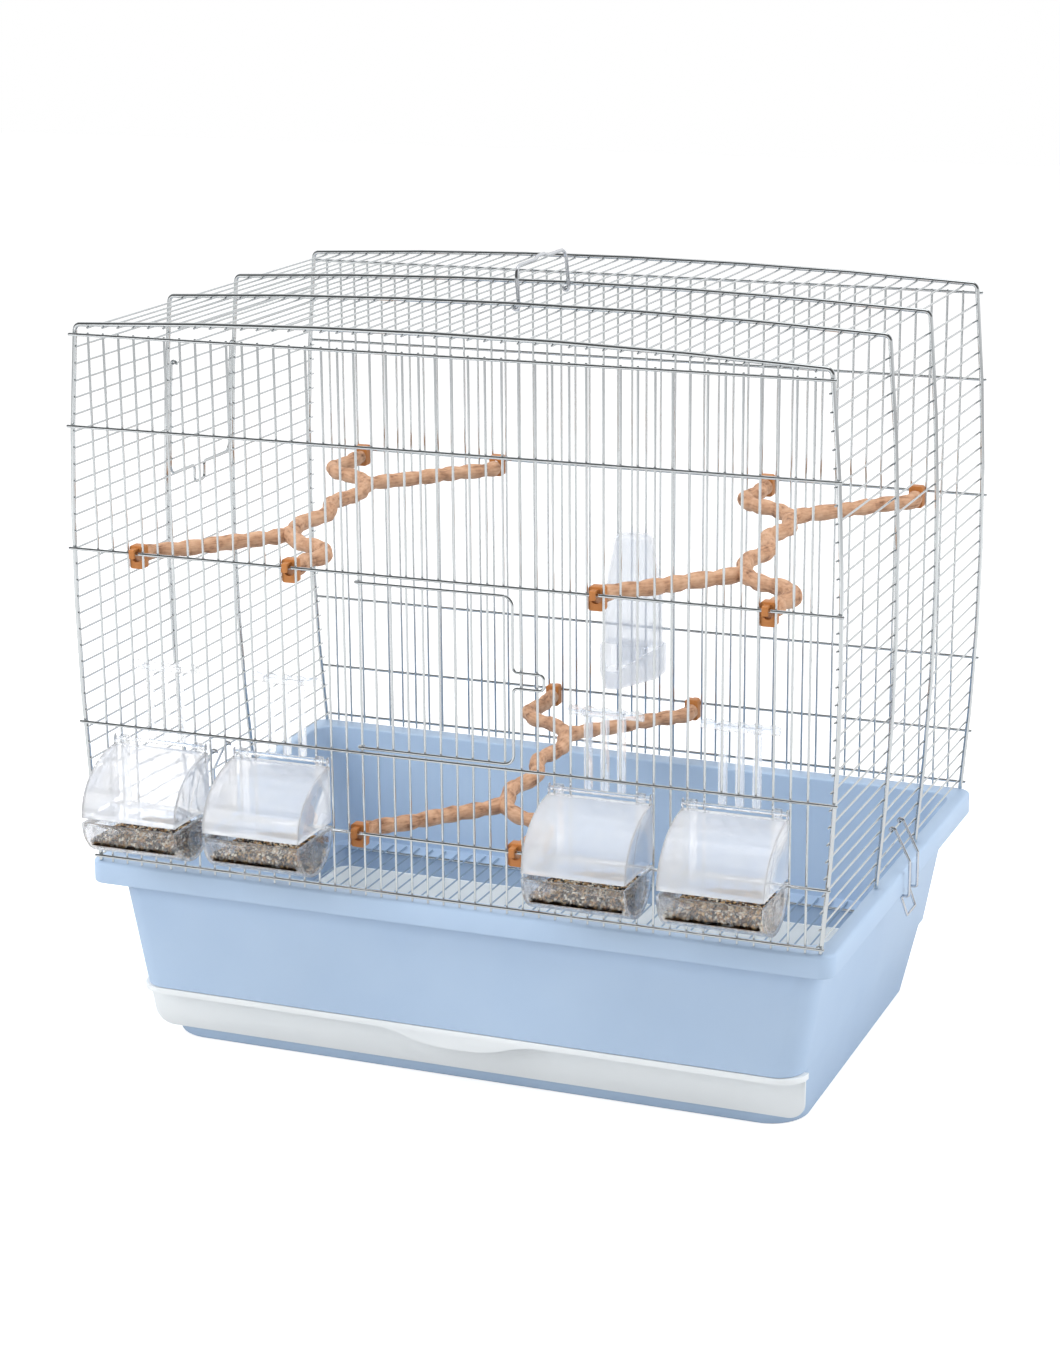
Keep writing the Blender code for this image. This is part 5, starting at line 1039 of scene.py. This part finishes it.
def make_seed(number, x, dice):
    half = FEEDER_HALF - FEEDER_WALL - FIT_GAP
    radius = FEEDER_RADIUS - FEEDER_WALL - FIT_GAP
    deep = radius - SEED_INSET
    bm = half_round(x, radius - SEED_CORE_INSET, half - SEED_CORE_INSET, 16)
    for vert in bm.verts:
        vert.co.z = min(vert.co.z, SEED_TOP_Z - SEED_CORE_DROP)
    bmesh.ops.remove_doubles(bm, verts=bm.verts, dist=0.00005)
    bmesh.ops.holes_fill(bm, edges=bm.edges)
    tone = bm.verts.layers.float.new("tone")
    for vert in bm.verts:
        vert[tone] = 0.5

    def across_at(level):
        room = (deep ** 2 - (FEEDER_RIM_Z - level) ** 2) ** 0.5
        return FEEDER_CENTRE_Y + dice.uniform(-room, room)

    def on_round():
        along = dice.uniform(-half + 0.001, half - 0.001)
        turn = dice.uniform(0.05, pi - 0.05)
        out = Vector((0.0, cos(turn), -sin(turn)))
        spot = Vector((x + along, FEEDER_CENTRE_Y, FEEDER_RIM_Z)) + out * (deep - dice.choice((0.0, 0.0010)))
        return (spot if spot.z < seed_height(along, spot.y, half) else None), out

    def on_top():
        along = dice.uniform(-half + 0.0012, half - 0.0012)
        level = seed_height(along, FEEDER_CENTRE_Y, half)
        across = across_at(level)
        return Vector((x + along, across, seed_height(along, across, half))), Z_AXIS

    def on_end():
        side = dice.choice((-1, 1))
        level = dice.uniform(FEEDER_RIM_Z - deep, seed_height(side * half, FEEDER_CENTRE_Y, half))
        across = across_at(level)
        return Vector((x + side * (half - 0.0008), across, level)), X_AXIS * side

    for count, pick in zip(GRAIN_COUNTS, (on_round, on_top, on_end)):
        scatter(bm, count, dice, pick)
    add_piece("seed_fill_%d" % number, bm, BIRD_SEED, "cage", ("seed_bed_%d" % number,), 180,
              clean=False)


def make_comb(number, x):
    body = "comb_%d" % number
    bar_low = COMB_TOP_Z - COMB_BAR_HEIGHT
    outline = [(x + COMB_HALF_WIDTH * (2 * share - 1),
                COMB_TOP_Z - COMB_CREST * (1 - abs(sin(COMB_WAVES * pi * share))))
               for share in spread(0.0, 1.0, 40)]
    outline.append((x + COMB_HALF_WIDTH, bar_low))
    rounded = []
    for step in (1, 0, -1):
        middle = x + step * WIRE_PITCH
        right, left = middle + PRONG_WIDTH / 2, middle - PRONG_WIDTH / 2
        rounded += [(len(outline) + 1, 0.0008), (len(outline) + 2, 0.0015), (len(outline) + 3, 0.0008)]
        outline += [(right, bar_low), (right, PRONG_TIP_Z + PRONG_WIDTH / 4), (middle, PRONG_TIP_Z),
                    (left, PRONG_TIP_Z + PRONG_WIDTH / 4), (left, bar_low)]
    outline.append((x - COMB_HALF_WIDTH, bar_low))
    bm = plate([(a, COMB_Y, z) for a, z in outline], (0.0, COMB_WALL, 0.0), rounded, FINE_EDGE, 3)
    reach = WIRE_PITCH + GUIDE_PAST_WIRE
    low, high = bar_low + GUIDE_LIFT, bar_low + GUIDE_LIFT + GUIDE_HEIGHT
    front = -WIRE_Y - WIRE_RADIUS - FIT_GAP - GUIDE_WALL
    guide = bmesh.new()
    add_block(guide, (x - reach, front, low), (x + reach, front + GUIDE_WALL, high), FINE_EDGE)
    for side in (-1, 1):
        low_x, high_x = sorted((x + side * reach, x + side * (reach - GUIDE_END_WIDTH)))
        add_block(guide, (low_x, front, low), (high_x, COMB_Y + 0.0003, high), FINE_EDGE)
    join(bm, guide)
    add_piece("comb_plate_%d" % number, bm, THIN_PLASTIC, body, ("feeder_comb_%d" % number,),
              clean=False)


# Perches and clips

LIMB_SHARES = ((-1.00, -0.93), (-0.66, -0.82), (-0.33, -0.68), (0.13, -0.49), (0.02, -0.29), (0.11, -0.10))
BRANCH_SHARES = ((0.11, -0.47), (0.49, -0.60), (0.82, -0.65), (1.04, -0.76), (0.96, -0.87), (1.00, -0.93))


def curve_through(points, steps):
    """A smooth line through points."""
    points = [Vector(point) for point in points]
    ends = [points[0] * 2 - points[1]] + points + [points[-1] * 2 - points[-2]]
    line = []
    for a, b, c, d in zip(ends, ends[1:], ends[2:], ends[3:]):
        for i in range(steps):
            t = i / steps
            line.append((b * 2 + (c - a) * t + (a * 2 - b * 5 + c * 4 - d) * t ** 2
                         + (b * 3 - a - c * 3 + d) * t ** 3) / 2)
    return line + [points[-1]]


def grow_limb(bm, grain_layer, path, dice, start=(), finish=()):
    """A knobbly limb: swollen between pinched joints, slightly bumpy, with its grain along it."""
    lengths = [0.0]
    for a, b in zip(path, path[1:]):
        lengths.append(lengths[-1] + (b - a).length)
    joints = [0.0]
    while joints[-1] < lengths[-1]:
        joints.append(joints[-1] + dice.uniform(*JOINT_SPACES))
    radii = []
    for length in lengths:
        near = max(joint for joint in joints if joint <= length)
        after = joints[joints.index(near) + 1]
        share = (length - near) / (after - near)
        radii.append(PERCH_RADIUS * (JOINT_PINCH + JOINT_SWELL * sin(pi * share) ** 0.6))
    path = list(start) + path + list(finish)
    radii = [STUB_RADIUS] * len(start) + radii + [STUB_RADIUS] * len(finish)
    rings = sweep(bm, path, radii, PERCH_SIDES)
    length = 0.0
    offset = dice.uniform(0.0, 50.0)
    for i, ring in enumerate(rings):
        middle = path[i]
        length += (path[i] - path[i - 1]).length if i else 0.0
        for number, vert in enumerate(ring):
            turn = 2 * pi * number / len(ring)
            swell = sum(noise.noise(vert.co * pitch) * height for pitch, height in BUMPS)
            if radii[i] > STUB_RADIUS:
                vert.co += (vert.co - middle).normalized() * swell
            vert[grain_layer] = Vector((cos(turn) * 3.0, sin(turn) * 3.0, offset + length * GRAIN_PITCH))


def make_perch(name, place, rail_z, dice):
    x0 = place * WIRE_PITCH
    z = rail_z - PERCH_DROP

    def spots(shares, turn):
        return [Vector((x0 + turn * sx * PERCH_REACH, turn * sy * PERCH_END_Y, z)) for sx, sy in shares]

    def stub(turn, end):
        x = x0 + turn * PERCH_REACH
        return [Vector((x, end * (PERCH_END_Y + STUB_LENGTH), z)), Vector((x, end * PERCH_END_Y, z))]

    bm = bmesh.new()
    grain = bm.verts.layers.float_vector.new("grain")
    start, finish = stub(-1, -1), stub(1, 1)
    knots = [start[1] + Y_AXIS * 0.0005] + spots(LIMB_SHARES, 1) + spots(LIMB_SHARES[::-1], -1)
    line = curve_through(knots + [finish[1] - Y_AXIS * 0.0005], 8)
    grow_limb(bm, grain, line, dice, start, finish[::-1])
    for turn in (1, -1):
        end = stub(turn, -turn)
        knots = spots(BRANCH_SHARES, turn) + [end[1] + Y_AXIS * turn * 0.0005]
        grow_limb(bm, grain, curve_through(knots, 8), dice, (), end[::-1])
    add_piece(name + "_wood", bm, BRANCH_WOOD, "cage", (name,), 60)


def make_clip(number, x, end, rail_z):
    top = rail_z + CLIP_ABOVE_RAIL
    bm = bmesh.new()
    half = CLIP_WIDTH / 2
    low = top - CLIP_HEIGHT
    outline = [(x + across, end * CLIP_FACE_Y, z)
               for across, z in ((-half, top), (half, top), (half, low), (-half, low))]
    rounded = [(corner, CLIP_CORNER) for corner in range(4)]
    join(bm, plate(outline, (0.0, end * CLIP_DEPTH, 0.0), rounded, 0.0005, 4))
    block = add_piece("clip_%02d" % number, bm, BROWN_PLASTIC, "cage", ("perch_clip_%02d" % number,),
                      clean=False)
    socket = (x, end * (CLIP_FACE_Y + CLIP_DEPTH / 2), rail_z - PERCH_DROP + SOCKET_RISE)
    carve(block, pin(socket, "X", SOCKET_RADIUS, CLIP_DEPTH * 1.5, 24))
    over = rail_z + RAIL_RADIUS + FIT_GAP
    outside = RAIL_OUTER_Y + FIT_GAP
    tab = rail_hook(CLIP_FACE_Y + CLIP_DEPTH - 0.0006, outside, over, rail_z - CLIP_TAB_DROP, CLIP_TAB_WALL)
    bm = plate([(x - CLIP_TAB_WIDTH / 2, end * y, z) for y, z in tab], (CLIP_TAB_WIDTH, 0.0, 0.0),
               ((4, 0.0012),), 0.0004, 4)
    add_piece("clip_tab_%02d" % number, bm, BROWN_PLASTIC, "cage", (), clean=False)


def make_perches():
    dice = Random(7)
    number = 0
    for name, place, rail_z in PERCH_PLACES:
        make_perch(name, place, rail_z, dice)
        for side in (-1, 1):
            for end in (-1, 1):
                number += 1
                make_clip(number, place * WIRE_PITCH + side * PERCH_REACH, end, rail_z)


# Drinker

def make_drinker():
    wall = BOTTLE_WALL
    deep = BOTTLE_DEPTH / 2
    neck_low, floor = BOTTLE_LOW_Z - NECK_DROP, BOTTLE_LOW_Z + wall
    head = (BOTTLE_TOP_HALF_WIDTH, deep, 0.0095)
    shell = (BOTTLE_HALF_WIDTH, deep, 0.0100)
    neck = (NECK_HALF_WIDTH, NECK_HALF_DEPTH, 0.0055)
    in_neck = (*inset(neck[:2], wall), 0.0040)
    bm = moulding([
        (*head, BOTTLE_TOP_Z, 0.0045),
        (*shell, BOTTLE_SHOULDER_Z, 0.0),
        (*shell, BOTTLE_LOW_Z, 0.0010),
        (*neck, BOTTLE_LOW_Z, 0.0),
        (*neck, neck_low, 0.0),
        (*in_neck, neck_low, 0.0),
        (*in_neck, floor, 0.0),
        (*inset(shell, wall), floor, 0.0),
        (*inset(shell, wall), BOTTLE_SHOULDER_Z, 0.0),
        (*inset(head, wall), BOTTLE_TOP_Z - wall, 0.0030),
    ], DRINKER_BACK_Y - deep, 8)
    bmesh.ops.translate(bm, verts=bm.verts, vec=(DRINKER_X, 0.0, 0.0))
    over = RAIL_FEEDER_Z + RAIL_RADIUS + FIT_GAP
    lug = rail_hook(DRINKER_BACK_Y - LUG_SINK, RAIL_OUTER_Y + FIT_GAP, over, over - LUG_DROP, LUG_WALL)
    for side in (-1, 1):
        left = DRINKER_X + side * WIRE_PITCH - LUG_WIDTH / 2
        join(bm, plate([(left, y, z) for y, z in lug], (LUG_WIDTH, 0.0, 0.0), (), FINE_EDGE))
    add_piece("drinker_bottle_shell", bm, BOTTLE_PLASTIC, "cage", ("drinker_bottle",))


def make_trough():
    """The drinker's dish: as wide as the bottle behind, narrowed in front to an open scoop."""
    bm = bmesh.new()
    top = BOTTLE_LOW_Z - FIT_GAP
    front = TROUGH_FRONT_Y + NOSE_HALF_WIDTH
    side = DRINKER_BACK_Y - BOTTLE_DEPTH
    turns = spread(0.0, -pi, 16)
    plan = [(BOTTLE_HALF_WIDTH, DRINKER_BACK_Y), (BOTTLE_HALF_WIDTH, side)]
    plan += [(NOSE_HALF_WIDTH * cos(t), front + NOSE_HALF_WIDTH * sin(t)) for t in turns]
    plan += [(-BOTTLE_HALF_WIDTH, side), (-BOTTLE_HALF_WIDTH, DRINKER_BACK_Y)]
    fall = (top - NOSE_Z) / (side - TROUGH_FRONT_Y)
    verts = [bm.verts.new((DRINKER_X + x, y, top - fall * max(0.0, side - y))) for x, y in plan]
    rim = bm.faces.new(verts)
    grown = bmesh.ops.extrude_face_region(bm, geom=[rim])["geom"]
    for vert in of_kind(grown, bmesh.types.BMVert):
        vert.co.z = TROUGH_LOW_Z
    floor_edges = of_kind(grown, bmesh.types.BMEdge)
    bmesh.ops.delete(bm, geom=[rim], context="FACES_ONLY")
    bevel(bm, floor_edges, 0.0016, 3)
    trough = add_piece("drinker_trough_shell", bm, TROUGH_PLASTIC, "cage", ("drinker_trough",))
    give_wall(trough, TROUGH_WALL, 0.0004)


# Stage, light and camera

def make_stage():
    """A pale floor that keeps the shadow and shows its far part to the wires."""
    bm = bmesh.new()
    bmesh.ops.create_grid(bm, x_segments=1, y_segments=1, size=FLOOR_HALF,
                          matrix=Matrix.Translation((0, 0, -FLOOR_DROP)))
    mesh = new_mesh("floor", bm)
    new_object("floor", mesh)
    made, add, _, place = start_material("studio_floor", {"Base Color": srgb("#DDDDDD"), "Roughness": 0.9})
    rays = add("LightPath").outputs
    seen = add("Math", {"operation": "MAXIMUM"}, {0: rays["Is Camera Ray"], 1: rays["Is Transmission Ray"]})
    away = add("VectorMath", {"operation": "LENGTH"}, {0: place}).outputs["Value"]
    far = add("MapRange", {"From Min": 0.6, "From Max": 2.2, "To Min": 0.0, "To Max": 0.3}, {"Value": away})
    mirrored = add("Math", {"operation": "MULTIPLY"}, {0: rays["Is Glossy Ray"], 1: far})
    seen = add("Math", {"operation": "MAXIMUM"}, {0: seen, 1: mirrored})
    glow = add("Math", {"operation": "MULTIPLY", 1: FLOOR_GLOW}, {0: seen})
    light = add("Emission", {"Color": srgb("#FFFFFF")}, {"Strength": glow})
    surface = made.node_tree.nodes["Material Output"].inputs["Surface"]
    add("AddShader", (), {0: surface.links[0].from_socket, 1: light}, surface)
    mesh.materials.append(made)


def make_world():
    """A white room whose front half is darker to shiny faces, as the photograph's rails show it."""
    world = bpy.data.worlds.new("studio")
    bpy.context.scene.world = world
    world.use_nodes = True
    add = partial(add_node, world.node_tree)
    rays = add("LightPath").outputs
    seen = add("Math", {"operation": "MAXIMUM"}, {0: rays["Is Camera Ray"], 1: rays["Is Transmission Ray"]})
    way = add("TexCoord").outputs["Generated"]
    parts = add("SeparateXYZ", (), {"Vector": way}).outputs
    strength = None
    for axis, start, end, first, last in ROOM_LIGHTS:
        part = add("MapRange", {"From Min": start, "From Max": end, "To Min": first, "To Max": last},
                   {"Value": parts[axis]})
        strength = part if strength is None else add("Math", {"operation": "MAXIMUM"}, {0: strength, 1: part})
    room = add("Background", {"Color": srgb("#FFFFFF")}, {"Strength": strength})
    white, soft = [add("Background", {"Color": srgb("#FFFFFF"), "Strength": level})
                   for level in (1.0, SOFT_LIGHT)]
    inner = add("MixShader", (), {0: rays["Is Glossy Ray"], 1: soft, 2: room})
    surface = world.node_tree.nodes["World Output"].inputs["Surface"]
    add("MixShader", (), {0: seen, 1: inner, 2: white}, surface)


def add_lamp(name, place, size, energy):
    lamp = bpy.data.lights.new(name, "AREA")
    lamp.shape = "DISK"
    lamp.size = size
    lamp.energy = energy
    made = new_object(name, lamp)
    made.location = place
    made.visible_glossy = False
    made.rotation_mode = "QUATERNION"
    made.rotation_quaternion = (Vector(LAMP_TARGET) - Vector(place)).to_track_quat("-Z", "Y")


def make_camera():
    """The photograph's eye: 16 degrees down and 22 degrees round, fitted to the hoops, rails and base."""
    yaw, pitch, roll = radians(21.84121587), radians(16.00059858), radians(-0.45742312)
    turn = Matrix.Rotation(yaw, 4, "Z") @ Matrix.Rotation(pi / 2 - pitch, 4, "X")
    data = bpy.data.cameras.new("camera")
    data.sensor_fit = "AUTO"
    data.sensor_width = 36.0
    data.lens = 79.08
    made = new_object("camera", data)
    place = Matrix.Translation((0.81178, -2.05382, 0.89568))
    made.matrix_world = place @ turn @ Matrix.Rotation(roll, 4, "Z")
    bpy.context.scene.camera = made


def make_all():
    make_hoops()
    make_front_wires()
    make_back_wires()
    make_side_wires("left_wires", -1, "left_grille")
    make_side_wires("right_wires", 1, "right_grille")
    make_roof_wires()
    make_floor_wires()
    make_front_door()
    make_side_door()
    make_handle()
    make_latch("left_latch", -1)
    make_latch("right_latch", 1)
    make_base()
    make_drawer()
    dice = Random(3)
    for number, k in enumerate(FEEDER_WIRES, 1):
        x = k * WIRE_PITCH
        make_feeder_tray(number, x)
        make_feeder_hood(number, x)
        make_seed(number, x, dice)
        make_comb(number, x)
    make_perches()
    make_drinker()
    make_trough()


make_all()
make_stage()
make_world()
for lamp_values in LAMPS:
    add_lamp(*lamp_values)
make_camera()
bpy.context.scene.view_settings.view_transform = "Standard"
